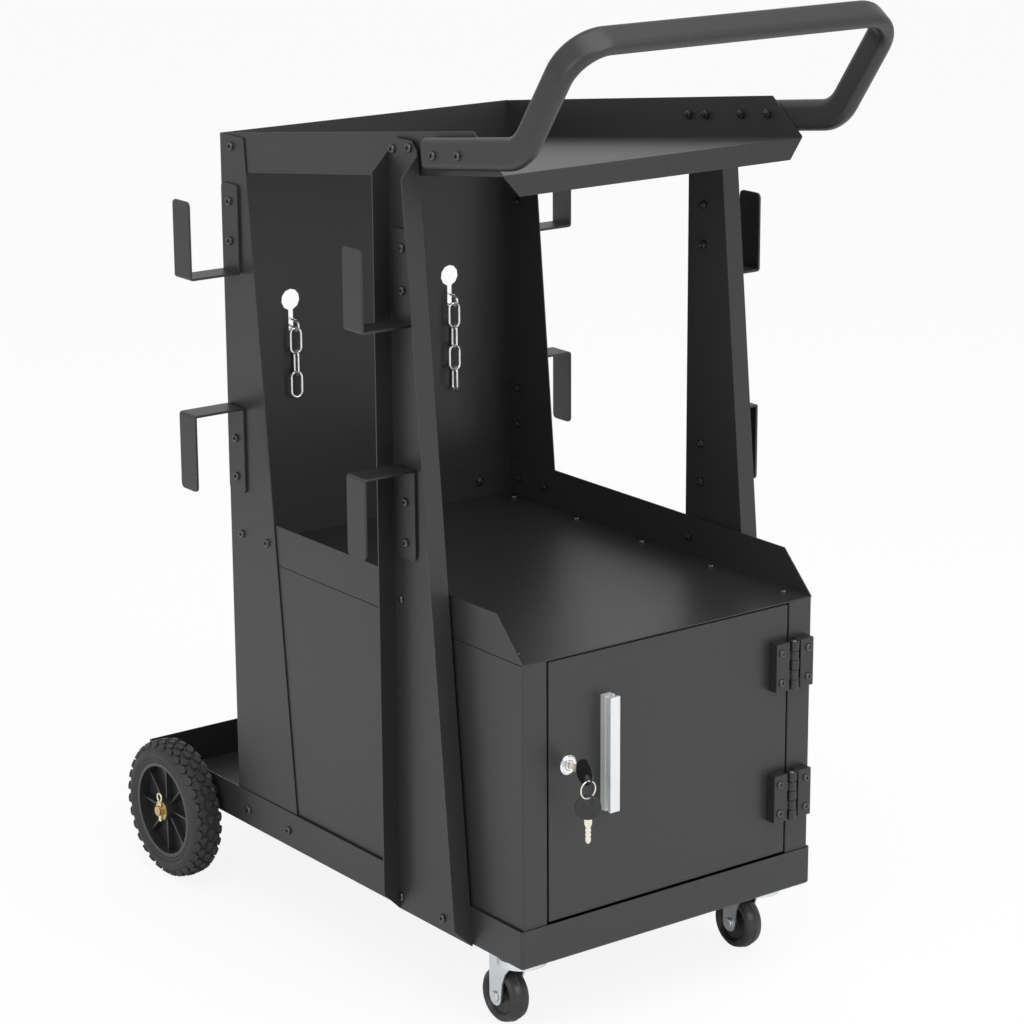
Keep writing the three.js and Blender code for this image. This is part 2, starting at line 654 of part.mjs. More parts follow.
add('lock_cam', front(camShape, CAM_Y, CAM_Y + CAM_SHEET), zinc);

// Key in the lock, its bow upright, with the ring and a spare key hanging below
const bowY = LOCK_FACE - KEY_NECK - KEY_BOW;
const holeY = bowY - KEY_HOLE_OUT * Math.SQRT1_2;
const holeZ = LOCK_Z - KEY_HOLE_OUT * Math.SQRT1_2;

function keyHole(axis, centre) {
  const half = KEY_SHEET / 2;
  const wide = KEY_HOLE + KEY_HOLE_CHAMFER;
  return turned([[0, -OVER], [wide + OVER - half, -OVER], [KEY_HOLE, KEY_HOLE_CHAMFER - half],
    [KEY_HOLE, half - KEY_HOLE_CHAMFER], [wide + OVER - half, OVER], [0, OVER]], axis, centre);
}

add('lock_key', cut(
  join(
    box(LOCK_X - KEY_SHEET / 2, LOCK_X + KEY_SHEET / 2, bowY, LOCK_FACE + KEY_BLADE_LENGTH,
      LOCK_Z - KEY_BLADE / 2, LOCK_Z + KEY_BLADE / 2),
    drum(KEY_BOW, -KEY_SHEET / 2, KEY_SHEET / 2, 'x', [LOCK_X, bowY, LOCK_Z]),
  ),
  keyHole('x', [LOCK_X, holeY, holeZ]),
), zinc);
const ringSag = KEY_HOLE - RING_WIRE - FIT;
const ringZ = holeZ - ringSag - RING_RADIUS;
const keyRing = new THREE.TorusGeometry(RING_RADIUS, RING_WIRE, WIRE_ROUND, ROUND);
add('key_ring', keyRing.rotateX(Math.PI / 2).translate(LOCK_X, holeY, ringZ), zinc);
const spareHoleZ = ringZ - RING_RADIUS - ringSag + SPARE_LEAN_ROOM;
const spareBowZ = spareHoleZ - KEY_HOLE_OUT;
const spare = cut(
  join(
    drum(KEY_BOW, -KEY_SHEET / 2, KEY_SHEET / 2, 'y', [0, 0, -KEY_HOLE_OUT]),
    box(-KEY_BLADE / 2, KEY_BLADE / 2, -KEY_SHEET / 2, KEY_SHEET / 2,
      -KEY_HOLE_OUT - KEY_BOW - SPARE_BLADE, -KEY_HOLE_OUT),
  ),
  keyHole('y', [0, 0, 0]),
);
add('spare_key', spare.rotateZ(-SPARE_TURN).translate(LOCK_X, holeY, spareBowZ + KEY_HOLE_OUT), zinc);

// Casters: plate with race and kingpin, trailing fork, wheel and axle bolt
const CASTER_Y = CASTER_SWIVEL;
const CASTER_AXLE_Y = CASTER_Y + CASTER_TRAIL;
const RACE_Z = BASE_Z - CASTER_PLATE - CASTER_RACE;
const CROWN_TOP = RACE_Z - FIT;
const CROWN_LOW = CROWN_TOP - FORK_SHEET;
const FORK_IN = CASTER_WIDTH / 2 + FIT;
const FORK_OUT = FORK_IN + FORK_SHEET;

const RIM_LOW = CROWN_LOW - FORK_RIM;
const LEG_FRONT = CASTER_Y - Math.sqrt(FORK_CROWN ** 2 - FORK_OUT ** 2);

function forkLeg(x0, x1) {
  const shape = new THREE.Shape();
  shape.moveTo(LEG_FRONT, CROWN_TOP);
  shape.lineTo(LEG_FRONT, RIM_LOW);
  shape.quadraticCurveTo(CASTER_AXLE_Y - FORK_LEG, RIM_LOW, CASTER_AXLE_Y - FORK_LEG, CASTER_RADIUS);
  shape.absarc(CASTER_AXLE_Y, CASTER_RADIUS, FORK_LEG, Math.PI, 2 * Math.PI, false);
  shape.lineTo(CASTER_AXLE_Y + FORK_LEG, CROWN_TOP);
  shape.closePath();
  return side(shape, x0, x1);
}

for (const [name, x] of [['left', -BASE_X + CASTER_INSET], ['right', BASE_X - CASTER_INSET]]) {
  const swivel = [x, CASTER_Y, 0];
  const axle = [x, CASTER_AXLE_Y, CASTER_RADIUS];
  add(`caster_${name}_plate`, join(
    box(x - CASTER_PLATE_WIDE / 2, x + CASTER_PLATE_WIDE / 2, CASTER_Y - CASTER_PLATE_LONG / 2 + OVER,
      CASTER_Y + CASTER_PLATE_LONG / 2 + OVER, BASE_Z - CASTER_PLATE, BASE_Z),
    drum(CASTER_RACE_RADIUS, RACE_Z, BASE_Z - CASTER_PLATE / 2, 'z', swivel),
    drum(KINGPIN_RADIUS, CROWN_LOW - FIT - KINGPIN_HEAD_SHEET, BASE_Z - CASTER_PLATE / 2, 'z', swivel),
    drum(KINGPIN_HEAD, CROWN_LOW - FIT - KINGPIN_HEAD_SHEET, CROWN_LOW - FIT, 'z', swivel),
  ), zinc);
  const crown = join(
    drum(FORK_CROWN, CROWN_LOW, CROWN_TOP, 'z', swivel, WHEEL_ROUND),
    ring(FORK_CROWN - FORK_SHEET, FORK_CROWN, RIM_LOW, CROWN_TOP, 'z', swivel, WHEEL_ROUND),
    box(x - FORK_OUT, x + FORK_OUT, CASTER_Y, CASTER_AXLE_Y + FORK_LEG, CROWN_LOW, CROWN_TOP),
  );
  add(`caster_${name}_fork`, cut(
    join(crown, forkLeg(x - FORK_OUT, x - FORK_IN), forkLeg(x + FORK_IN, x + FORK_OUT)),
    drum(KINGPIN_RADIUS + FIT, CROWN_LOW - OVER, CROWN_TOP + OVER, 'z', swivel),
    drum(CASTER_AXLE_RADIUS + FIT, -FORK_OUT - OVER, FORK_OUT + OVER, 'x', axle),
  ), zinc);
  const tread = CASTER_WIDTH / 2;
  const hubRadius = CASTER_RADIUS / 2;
  add(`caster_${name}_wheel`, turned([
    [CASTER_AXLE_RADIUS + FIT, -tread], [hubRadius / 2, -tread], [hubRadius, -tread / 2],
    [CASTER_RADIUS - OVER, -tread], [CASTER_RADIUS - OVER / 4, -tread / 2], [CASTER_RADIUS, 0],
    [CASTER_RADIUS - OVER / 4, tread / 2], [CASTER_RADIUS - OVER, tread], [hubRadius, tread / 2],
    [hubRadius / 2, tread], [CASTER_AXLE_RADIUS + FIT, tread], [CASTER_AXLE_RADIUS + FIT, -tread],
  ], 'x', axle, WHEEL_ROUND), plastic);
  const boltEnd = FORK_OUT + CASTER_AXLE_HEAD_SHEET;
  add(`caster_${name}_axle`, turned([
    [0, -boltEnd], [CASTER_AXLE_HEAD, -boltEnd], [CASTER_AXLE_HEAD, -FORK_OUT], [CASTER_AXLE_RADIUS, -FORK_OUT],
    [CASTER_AXLE_RADIUS, FORK_OUT], [CASTER_AXLE_HEAD, FORK_OUT], [CASTER_AXLE_HEAD, boltEnd], [0, boltEnd],
  ], 'x', axle), zinc);
}

// Rear axle and wheels; positions along the axle are counted from the tyre's inner face
const TYRE_IN = BASE_X + WHEEL_GAP;
const HUB_MIDDLE = TYRE_IN + TYRE_WIDTH / 2;
const HUB_OUT = HUB_MIDDLE + HUB_WIDTH / 2;
const WASHER_OUT = HUB_OUT + FIT + WASHER_SHEET;
const COTTER_X = WASHER_OUT + FIT + COTTER_WIRE;
const AXLE_END = COTTER_X + AXLE_TIP / 2;
const COTTER_HALF = COTTER_WIRE + FIT / 2;
const cotterHole = COTTER_HALF + COTTER_WIRE + FIT;
add('rear_axle', cut(
  drum(AXLE_RADIUS, -AXLE_END, AXLE_END, 'x', [0, AXLE_Y, TYRE_RADIUS]),
  drum(cotterHole, TYRE_RADIUS - AXLE_DIAMETER, TYRE_RADIUS + AXLE_DIAMETER, 'z', [-COTTER_X, AXLE_Y, 0]),
  drum(cotterHole, TYRE_RADIUS - AXLE_DIAMETER, TYRE_RADIUS + AXLE_DIAMETER, 'z', [COTTER_X, AXLE_Y, 0]),
), yellowZinc);

const tyreHalf = TYRE_WIDTH / 2;
const tyreSide = (RIM_RADIUS + TYRE_RADIUS) / 2;
const tyreProfile = [
  [RIM_RADIUS, -HUB_WIDTH / 2], [tyreSide, -tyreHalf], [TYRE_RADIUS - TYRE_SHOULDER, -tyreHalf],
  [TYRE_RADIUS - TYRE_SHOULDER / 4, -tyreHalf + TYRE_SHOULDER / 2], [TYRE_RADIUS, -tyreHalf + TYRE_SHOULDER],
  [TYRE_RADIUS, tyreHalf - TYRE_SHOULDER], [TYRE_RADIUS - TYRE_SHOULDER / 4, tyreHalf - TYRE_SHOULDER / 2],
  [TYRE_RADIUS - TYRE_SHOULDER, tyreHalf], [tyreSide, tyreHalf], [RIM_RADIUS, HUB_WIDTH / 2],
  [RIM_RADIUS, -HUB_WIDTH / 2],
];
const hubBore = AXLE_RADIUS + FIT;
const rimOut = RIM_RADIUS - FIT;
const hubHalf = HUB_WIDTH / 2;
const hubProfile = [
  [hubBore, -hubHalf], [HUB_BOSS_RADIUS, -hubHalf], [HUB_BOSS_RADIUS, -HUB_WEB / 2],
  [rimOut - RIM_WALL, -HUB_WEB / 2], [rimOut - RIM_WALL, -hubHalf], [rimOut, -hubHalf], [rimOut, hubHalf],
  [rimOut - RIM_WALL, hubHalf], [rimOut - RIM_WALL, HUB_WEB / 2], [HUB_BOSS_RADIUS, HUB_WEB / 2],
  [HUB_BOSS_RADIUS, hubHalf], [hubBore, hubHalf], [hubBore, -hubHalf],
];
const hubRibs = Array.from({ length: HUB_RIBS }, (_, i) => {
  const rib = box(-HUB_WEB / 2 - HUB_RIB_DEPTH, HUB_WEB / 2 + HUB_RIB_DEPTH, -HUB_RIB_SHEET / 2,
    HUB_RIB_SHEET / 2, HUB_BOSS_RADIUS - FIT, rimOut - RIM_WALL + FIT);
  return rib.rotateX(2 * Math.PI * i / HUB_RIBS);
});
const wheelHub = join(turned(hubProfile, 'x', [0, 0, 0], WHEEL_ROUND), ...hubRibs);

// One bent wire: down a leg, round the eye and down the other leg
const cotterTop = TYRE_RADIUS + AXLE_RADIUS + 2 * COTTER_EYE;
const cotterLow = TYRE_RADIUS - COTTER_LEG;
const cotterEye = Array.from({ length: ROUND / 2 }, (_, i) => {
  const angle = THREE.MathUtils.degToRad(-60) + THREE.MathUtils.degToRad(300) * i / (ROUND / 2 - 1);
  const y = AXLE_Y + COTTER_EYE * Math.cos(angle);
  const z = cotterTop + COTTER_EYE * Math.sin(angle);
  return { point: new THREE.Vector3(0, y, z), direction: new THREE.Vector3(0, -Math.sin(angle), Math.cos(angle)) };
});
const cotterNeck = TYRE_RADIUS + AXLE_RADIUS;
const down = AXIS_Z.clone().negate();
const cotterPath = new StationPath([
  { point: new THREE.Vector3(0, AXLE_Y + COTTER_HALF, cotterLow), direction: AXIS_Z },
  { point: new THREE.Vector3(0, AXLE_Y + COTTER_HALF, cotterNeck), direction: AXIS_Z },
  ...cotterEye,
  { point: new THREE.Vector3(0, AXLE_Y - COTTER_HALF, cotterNeck), direction: down },
  { point: new THREE.Vector3(0, AXLE_Y - COTTER_HALF, cotterLow), direction: down },
]);
const cotter = tube(circle(COTTER_WIRE, WIRE_ROUND), cotterPath);

for (const [name, way] of [['left', -1], ['right', 1]]) {
  const hubAt = [way * HUB_MIDDLE, AXLE_Y, TYRE_RADIUS];
  add(`rear_${name}_tyre`, turned(tyreProfile, 'x', hubAt, WHEEL_ROUND), rubber);
  add(`rear_${name}_hub`, wheelHub.clone().translate(...hubAt), plastic);
  const washer = ring(AXLE_RADIUS + FIT, WASHER_RADIUS, HUB_OUT + FIT, WASHER_OUT, 'x', [0, AXLE_Y, TYRE_RADIUS]);
  add(`rear_${name}_washer`, way > 0 ? washer : mirrored(washer), yellowZinc);
  add(`rear_${name}_cotter_pin`, cotter.clone().translate(way * COTTER_X, 0, 0), yellowZinc);
}

// Safety chain: long links of round wire
const linkArc = (LINK_WIDTH - CHAIN_WIRE) / 2;
const linkStraight = LINK_LENGTH / 2 - LINK_WIDTH / 2;
const linkStations = 2 * (LINK_STEPS + 1);

// A link standing upright in the XZ plane about the origin.
function link() {
  const around = (u, v, target) => {
    const i = Math.round(u * linkStations) % linkStations;
    const end = i <= LINK_STEPS ? 1 : -1;
    const angle = Math.PI * (i % (LINK_STEPS + 1)) / LINK_STEPS + (end < 0 ? Math.PI : 0);
    const spread = linkArc + CHAIN_WIRE / 2 * Math.cos(2 * Math.PI * v);
    const y = CHAIN_WIRE / 2 * Math.sin(2 * Math.PI * v);
    target.set(spread * Math.cos(angle), y, spread * Math.sin(angle) + end * linkStraight);
  };
  return weld(new ParametricGeometry(around, linkStations, WIRE_ROUND));
}

const linkReach = linkStraight + linkArc;
const hangPitch = 2 * linkReach - CHAIN_WIRE - CHAIN_PLAY;
const slotWireZ = SLOT_Z + FIT + CHAIN_WIRE / 2;
const hangY = PANEL_Y - LINK_WIDTH / 2 - CHAIN_PANEL_GAP;
const slotLinkY = hangY - linkArc + linkReach;
const slotLink = link().rotateZ(Math.PI / 2).rotateX(Math.PI / 2);

// The loop hangs between the two seated links along a catenary.
const loopPitch = 2 * linkReach - CHAIN_WIRE + LOOP_OVERLAP;
const loopLength = CHAIN_LOOP_LINKS * loopPitch;
const halfSpan = KEYHOLE_SPACING / 2;
let catenary = halfSpan;
for (let i = 0; i < 60; i += 1) {
  const length = 2 * catenary * Math.sinh(halfSpan / catenary);
  catenary *= length > loopLength ? 1.02 : 0.985;
}
const loopY = CABINET_LENGTH + LINK_WIDTH / 2 * Math.SQRT1_2 + CHAIN_WIRE / 2;
const loopTop = slotWireZ + CHAIN_WIRE + CHAIN_PLAY - LOOP_OVERLAP;
const loopBottom = loopTop - catenary * (Math.cosh(halfSpan / catenary) - 1);
const loopLinks = Array.from({ length: CHAIN_LOOP_LINKS }, (_, i) => {
  const along = (i - (CHAIN_LOOP_LINKS - 1) / 2) * loopPitch;
  const x = catenary * Math.asinh(along / catenary);
  const z = loopBottom + catenary * (Math.cosh(x / catenary) - 1);
  const lean = Math.PI / 2 - Math.atan(along / catenary);
  const turn = i % 2 === 0 ? LOOP_TWIST : -LOOP_TWIST;
  return link().rotateZ(turn).rotateY(lean).translate(x, loopY, z);
});
add('chain_rear_loop', join(...loopLinks), zinc);

for (const [name, way, count] of [['left', -1, CHAIN_LEFT_LINKS], ['right', 1, CHAIN_RIGHT_LINKS]]) {
  const x = way * halfSpan;
  add(`chain_${name}_slot_link`, slotLink.clone().translate(x, slotLinkY, slotWireZ + linkArc), zinc);
  for (let i = 0; i < count; i += 1) {
    const z = slotWireZ + CHAIN_WIRE + CHAIN_PLAY - linkReach - i * hangPitch;
    const turn = CHAIN_TWIST + (i % 2) * Math.PI / 2;
    add(`chain_${name}_link_${i + 1}`, link().rotateZ(turn).translate(x, hangY, z), zinc);
  }
}

// Stand the cart on the origin, centred in its own box.
const bounds = new THREE.Box3().setFromObject(cart);
const middle = bounds.getCenter(new THREE.Vector3());
for (const mesh of cart.children) mesh.geometry.translate(-middle.x, -middle.y, -bounds.min.z);

export default cart;
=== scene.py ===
"""Looks of a welding cart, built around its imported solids.

Every piece is in metres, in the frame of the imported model. Sizes in the classes are in millimetres
and angles in degrees unless a comment says otherwise.
"""

from __future__ import annotations

import json
import logging
import math
from dataclasses import dataclass
from enum import Enum
from typing import Callable, Iterable, Sequence

import bmesh
import bpy
from mathutils import Matrix, Vector


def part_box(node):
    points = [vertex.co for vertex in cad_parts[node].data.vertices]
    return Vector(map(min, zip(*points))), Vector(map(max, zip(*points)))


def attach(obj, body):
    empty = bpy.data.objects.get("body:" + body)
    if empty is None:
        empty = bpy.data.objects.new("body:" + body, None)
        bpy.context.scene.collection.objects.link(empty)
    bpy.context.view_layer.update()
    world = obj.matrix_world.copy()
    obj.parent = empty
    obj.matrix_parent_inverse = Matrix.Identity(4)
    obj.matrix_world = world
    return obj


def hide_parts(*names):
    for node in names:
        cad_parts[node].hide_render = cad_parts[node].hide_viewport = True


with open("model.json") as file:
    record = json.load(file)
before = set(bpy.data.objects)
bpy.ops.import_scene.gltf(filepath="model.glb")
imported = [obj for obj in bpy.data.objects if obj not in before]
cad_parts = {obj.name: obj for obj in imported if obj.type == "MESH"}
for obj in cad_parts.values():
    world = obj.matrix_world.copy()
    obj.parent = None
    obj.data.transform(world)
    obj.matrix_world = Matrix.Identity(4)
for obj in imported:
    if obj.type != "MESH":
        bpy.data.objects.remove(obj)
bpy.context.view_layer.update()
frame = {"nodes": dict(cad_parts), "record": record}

LOG = logging.getLogger("welding_cart")
SIDES = ("left", "right")
LEVELS = ("upper", "lower")
RIGHTWARD = Vector((1, 0, 0))
FORWARD = Vector((0, -1, 0))
UPWARD = Vector((0, 0, 1))

MM = 0.001
CENTRE_Y = 348.772  # from the base's front face back to the frame's origin
WELD_GAP = 2e-5  # metres; corners of a solid's mesh closer than this are one
SEAM_GAP = 1e-6  # metres; the same for a spun piece's seam
BROAD = 4.0  # narrower faces are a sheet's cut edges
FOLD_STEPS = 4
HEXAGON = 6
WIRE_SIDES = 12
LEVEL = 0.9  # a face whose normal rises by more than this looks up

# Angles up to which each kind of piece is shaded smooth, or left without a bevel
CRISP = 25.0
SMALL_PIECE = 30.0
TURNED_PIECE = 35.0
TUBE = 50.0
WIRE = 60.0
# Sharper edges than a corner are folds or get a bevel; flatter ones than flat are joined away
CORNER = 35.0
FLAT = 1.0


def at(x: float, y: float, z: float) -> Vector:
    """Turn millimetres, with Y counted from the base's front face, into metres in the frame.

    Args:
        x: Distance to the right of the middle.
        y: Distance behind the base's front face.
        z: Height above the ground.

    Returns:
        The point in metres.
    """
    return Vector((x, y - CENTRE_Y, z)) * MM


def middle_of(node: str) -> Vector:
    """Return the middle of a CAD node's box, in metres."""
    low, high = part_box(node)
    return (Vector(low) + Vector(high)) / 2


def turned(direction: Vector) -> Matrix:
    """Return the rotation from +Z to a direction."""
    return direction.to_track_quat("Z", "Y").to_matrix().to_4x4()


class Slot(Enum):
    """The record's material slots."""

    COAT = "coat"
    ZINC = "zinc"
    YELLOW_ZINC = "yellow_zinc"
    CHROME = "chrome"
    SATIN = "satin_aluminium"
    TYRE = "tyre"
    PLASTIC = "plastic"


class Facing(Enum):
    """The way a screw head or a nut points."""

    LEFT = (-1, 0, 0)
    RIGHT = (1, 0, 0)
    FRONT = (0, -1, 0)
    BACK = (0, 1, 0)
    UP = (0, 0, 1)
    DOWN = (0, 0, -1)

    def stand(self, spot: Vector) -> Matrix:
        """Return the place of a fastener that stands on a spot and points this way."""
        return Matrix.Translation(spot) @ turned(Vector(self.value))


# Materials


def math_node(tree: bpy.types.NodeTree, operation: str, *feeds: object) -> bpy.types.NodeSocket:
    """Add a Math node to a tree.

    Args:
        tree: The node tree.
        operation: What the node does.
        feeds: Its inputs in order, each a number or the socket to link from.

    Returns:
        The node's output socket.
    """
    node = tree.nodes.new("ShaderNodeMath")
    node.operation = operation
    for socket, feed in zip(node.inputs, feeds):
        if isinstance(feed, bpy.types.NodeSocket):
            tree.links.new(feed, socket)
        else:
            socket.default_value = feed
    return node.outputs[0]


def surface_group() -> bpy.types.NodeTree:
    """Build the shared group that mottles a surface and gives it a fine texture.

    Returns:
        A group with a tinted colour, a roughness and a height.
    """
    group = bpy.data.node_groups.new("surface_mottle", "ShaderNodeTree")
    for name, kind, default in (
        ("Colour", "NodeSocketColor", (0.5, 0.5, 0.5, 1)),
        ("Tint", "NodeSocketFloat", 0.1),
        ("Roughness", "NodeSocketFloat", 0.5),
        ("Spread", "NodeSocketFloat", 0.1),
        ("Patch Scale", "NodeSocketFloat", 6.0),
        ("Grain Scale", "NodeSocketFloat", 900.0),
    ):
        socket = group.interface.new_socket(name, in_out="INPUT", socket_type=kind)
        socket.default_value = default
    for name, kind in (
        ("Colour", "NodeSocketColor"),
        ("Roughness", "NodeSocketFloat"),
        ("Height", "NodeSocketFloat"),
    ):
        group.interface.new_socket(name, in_out="OUTPUT", socket_type=kind)
    nodes, links = group.nodes, group.links
    entry = nodes.new("NodeGroupInput")
    result = nodes.new("NodeGroupOutput")
    place = nodes.new("ShaderNodeTexCoord")
    patch = nodes.new("ShaderNodeTexNoise")
    patch.inputs["Detail"].default_value = 4
    grain = nodes.new("ShaderNodeTexNoise")
    grain.inputs["Detail"].default_value = 2
    links.new(place.outputs["Object"], patch.inputs["Vector"])
    links.new(place.outputs["Object"], grain.inputs["Vector"])
    links.new(entry.outputs["Patch Scale"], patch.inputs["Scale"])
    links.new(entry.outputs["Grain Scale"], grain.inputs["Scale"])
    # The patches run from -0.5 to 0.5 about the plain colour and roughness
    middle = math_node(group, "SUBTRACT", patch.outputs["Fac"], 0.5)
    shade = math_node(group, "MULTIPLY_ADD", middle, entry.outputs["Tint"], 1.0)
    rough = math_node(group, "MULTIPLY_ADD", middle, entry.outputs["Spread"], entry.outputs["Roughness"])
    tinted = nodes.new("ShaderNodeVectorMath")
    tinted.operation = "SCALE"
    links.new(entry.outputs["Colour"], tinted.inputs[0])
    links.new(shade, tinted.inputs["Scale"])
    links.new(tinted.outputs[0], result.inputs["Colour"])
    links.new(rough, result.inputs["Roughness"])
    links.new(grain.outputs["Fac"], result.inputs["Height"])
    return group


@dataclass(frozen=True)
class Finish:
    """One finish of the cart: a colour, its gloss and its fine texture."""

    name: str
    slot: Slot
    colour: tuple[float, float, float]
    roughness: float
    metallic: float = 0.0
    tint: float = 0.15
    spread: float = 0.12
    patch: float = 6.0
    grain: float = 900.0
    bump: float = 0.05
    bump_depth: float = 0.0002  # metres
    specular: float = 0.5

    def material(self, group: bpy.types.NodeTree) -> bpy.types.Material:
        """Build the finish's material.

        Args:
            group: The shared surface group.

        Returns:
            The material.
        """
        material = bpy.data.materials.new(self.name)
        material.use_nodes = True
        nodes, links = material.node_tree.nodes, material.node_tree.links
        shader = nodes["Principled BSDF"]
        shader.inputs["Metallic"].default_value = self.metallic
        shader.inputs["Specular IOR Level"].default_value = self.specular
        texture = nodes.new("ShaderNodeGroup")
        texture.node_tree = group
        for name, value in (
            ("Colour", (*self.colour, 1)), ("Tint", self.tint), ("Roughness", self.roughness),
            ("Spread", self.spread), ("Patch Scale", self.patch), ("Grain Scale", self.grain),
        ):
            texture.inputs[name].default_value = value
        links.new(texture.outputs["Colour"], shader.inputs["Base Color"])
        links.new(texture.outputs["Roughness"], shader.inputs["Roughness"])
        bump = nodes.new("ShaderNodeBump")
        bump.inputs["Strength"].default_value = self.bump
        bump.inputs["Distance"].default_value = self.bump_depth
        links.new(texture.outputs["Height"], bump.inputs["Height"])
        links.new(bump.outputs["Normal"], shader.inputs["Normal"])
        return material


COAT = Finish(
    "powder_coat", Slot.COAT, (0.0215, 0.0215, 0.0222), 0.38, tint=0.1, spread=0.1, grain=700, bump=0.12
)
SCREW = Finish("hinge_screw", Slot.COAT, (0.008, 0.008, 0.009), 0.16, tint=0.2, specular=1.0)
HARDWARE = Finish(
    "black_hardware", Slot.COAT, (0.014, 0.014, 0.015), 0.15, tint=0.2, spread=0.05, specular=1.0
)
BLOCK = Finish("hinge_block", Slot.COAT, (0.017, 0.017, 0.018), 0.4, tint=0.15, bump=0.1)
ZINC = Finish("bright_zinc", Slot.ZINC, (0.72, 0.74, 0.76), 0.3, metallic=1, patch=25, spread=0.2)
CHAIN = Finish("chain_zinc", Slot.ZINC, (0.9, 0.91, 0.92), 0.18, metallic=0.9, patch=60, spread=0.15)
RING = Finish("ring_nickel", Slot.ZINC, (0.78, 0.76, 0.7), 0.24, metallic=0.9, patch=60)
BLADE = Finish("key_blade", Slot.ZINC, (0.74, 0.7, 0.6), 0.32, metallic=0.85, patch=60)
YELLOW = Finish(
    "yellow_zinc_plate", Slot.YELLOW_ZINC, (0.58, 0.46, 0.22), 0.32, metallic=1, patch=40, spread=0.2
)
COTTER = Finish("bright_cotter", Slot.YELLOW_ZINC, (0.86, 0.78, 0.56), 0.26, metallic=0.85, patch=40)
CHROME = Finish("lock_chrome", Slot.CHROME, (0.78, 0.79, 0.8), 0.1, metallic=1, spread=0.05)
SATIN = Finish(
    "satin_aluminium_pull", Slot.SATIN, (0.72, 0.73, 0.74), 0.48, metallic=0.55, patch=30, bump=0.08
)
TYRE = Finish(
    "tyre_rubber", Slot.TYRE, (0.026, 0.025, 0.025), 0.58, tint=0.3, patch=20, grain=1400, bump=0.25
)
HUB = Finish("hub_plastic", Slot.PLASTIC, (0.028, 0.027, 0.026), 0.3, tint=0.2, patch=15, bump=0.1)
WHEEL = Finish("caster_plastic", Slot.PLASTIC, (0.02, 0.02, 0.021), 0.36, tint=0.2, patch=30, bump=0.1)
BOW = Finish("key_bow_plastic", Slot.PLASTIC, (0.009, 0.009, 0.01), 0.26, tint=0.2, patch=60)


class Dresser:
    """Makes each material once and puts it on pieces."""

    def __init__(self) -> None:
        """Build the shared group and start with no materials."""
        self.group = surface_group()
        self.made: dict[str, bpy.types.Material] = {}

    def dress(self, obj: bpy.types.Object, finish: Finish) -> None:
        """Give a piece one finish all over, built on first use.

        Args:
            obj: The piece.
            finish: Its finish.
        """
        if finish.name not in self.made:
            self.made[finish.name] = finish.material(self.group)
        obj.data.materials.clear()
        obj.data.materials.append(self.made[finish.name])


DRESSER = Dresser()


# Modelling by hand, in operators


def deselect() -> None:
    """Leave edit mode and select nothing."""
    if bpy.context.object and bpy.context.object.mode != "OBJECT":
        bpy.ops.object.mode_set(mode="OBJECT")
    bpy.ops.object.select_all(action="DESELECT")


def activate(obj: bpy.types.Object) -> None:
    """Select one object alone and make it active."""
    deselect()
    obj.select_set(True)
    bpy.context.view_layer.objects.active = obj


def edit(obj: bpy.types.Object) -> None:
    """Open one object alone in edit mode."""
    activate(obj)
    bpy.ops.object.mode_set(mode="EDIT")


def select(obj: bpy.types.Object, kind: str, pick: Callable[[object], bool]) -> int:
    """Select faces or edges of the object in edit mode by a test.

    Args:
        obj: The object, already in edit mode.
        kind: "faces" or "edges".
        pick: The test on each face or edge.

    Returns:
        How many were selected.
    """
    bpy.ops.mesh.select_all(action="DESELECT")
    bpy.ops.mesh.select_mode(type="FACE" if kind == "faces" else "EDGE")
    mesh = bmesh.from_edit_mesh(obj.data)
    mesh.normal_update()
    count = 0
    for item in getattr(mesh, kind):
        if pick(item):
            item.select_set(True)
            count += 1
    mesh.select_flush_mode()
    bmesh.update_edit_mesh(obj.data)
    return count


def looks_up(face: bmesh.types.BMFace) -> bool:
    """Tell whether a face looks up."""
    return face.normal.z > LEVEL


def looks_down(face: bmesh.types.BMFace) -> bool:
    """Tell whether a face looks down."""
    return face.normal.z < -LEVEL


def settle(obj: bpy.types.Object) -> None:
    """Apply an object's modifiers and its place, so its mesh holds both."""
    activate(obj)
    for modifier in list(obj.modifiers):
        bpy.ops.object.modifier_apply(modifier=modifier.name)
    bpy.ops.object.transform_apply(location=True, rotation=True, scale=True)


def bevel(obj: bpy.types.Object, width: float, segments: int = 2, angle: float = CORNER) -> None:
    """Round an object's sharp edges with a bevel and apply it.

    Args:
        obj: The object.
        width: Bevel width in millimetres.
        segments: Steps across the bevel.
        angle: Only edges sharper than this many degrees are rounded.
    """
    modifier = obj.modifiers.new("edge", "BEVEL")
    modifier.width = width * MM
    modifier.segments = segments
    modifier.limit_method = "ANGLE"
    modifier.angle_limit = math.radians(angle)
    modifier.use_clamp_overlap = True
    settle(obj)


def smooth(obj: bpy.types.Object, angle: float) -> None:
    """Shade an object smooth up to an angle, with its broad faces kept flat.

    Args:
        obj: The object.
        angle: Edges sharper than this many degrees stay sharp.
    """
    activate(obj)
    bpy.ops.object.shade_smooth_by_angle(angle=math.radians(angle))
    modifier = obj.modifiers.new("broad_faces", "WEIGHTED_NORMAL")
    modifier.keep_sharp = True
    settle(obj)


def deliver(
    obj: bpy.types.Object, name: str, body: str, finish: Finish, nodes: Sequence[str] = ()
) -> None:
    """Name, dress and hang a finished piece on its body.

    Args:
        obj: The piece.
        name: Its name.
        body: The CAD body that it rides on.
        finish: Its finish.
        nodes: CAD nodes that it stands for.
    """
    obj.name = name
    obj.data.name = name
    DRESSER.dress(obj, finish)
    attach(obj, body)
    if nodes:
        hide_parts(*nodes)
    LOG.info("%s rides on %s", name, body)


def body_of(node: str) -> str:
    """Return the name of the body that holds a CAD node."""
    bodies = frame["record"]["behaviour"]["bodies"]
    return next(body for body, members in bodies.items() if node in members)


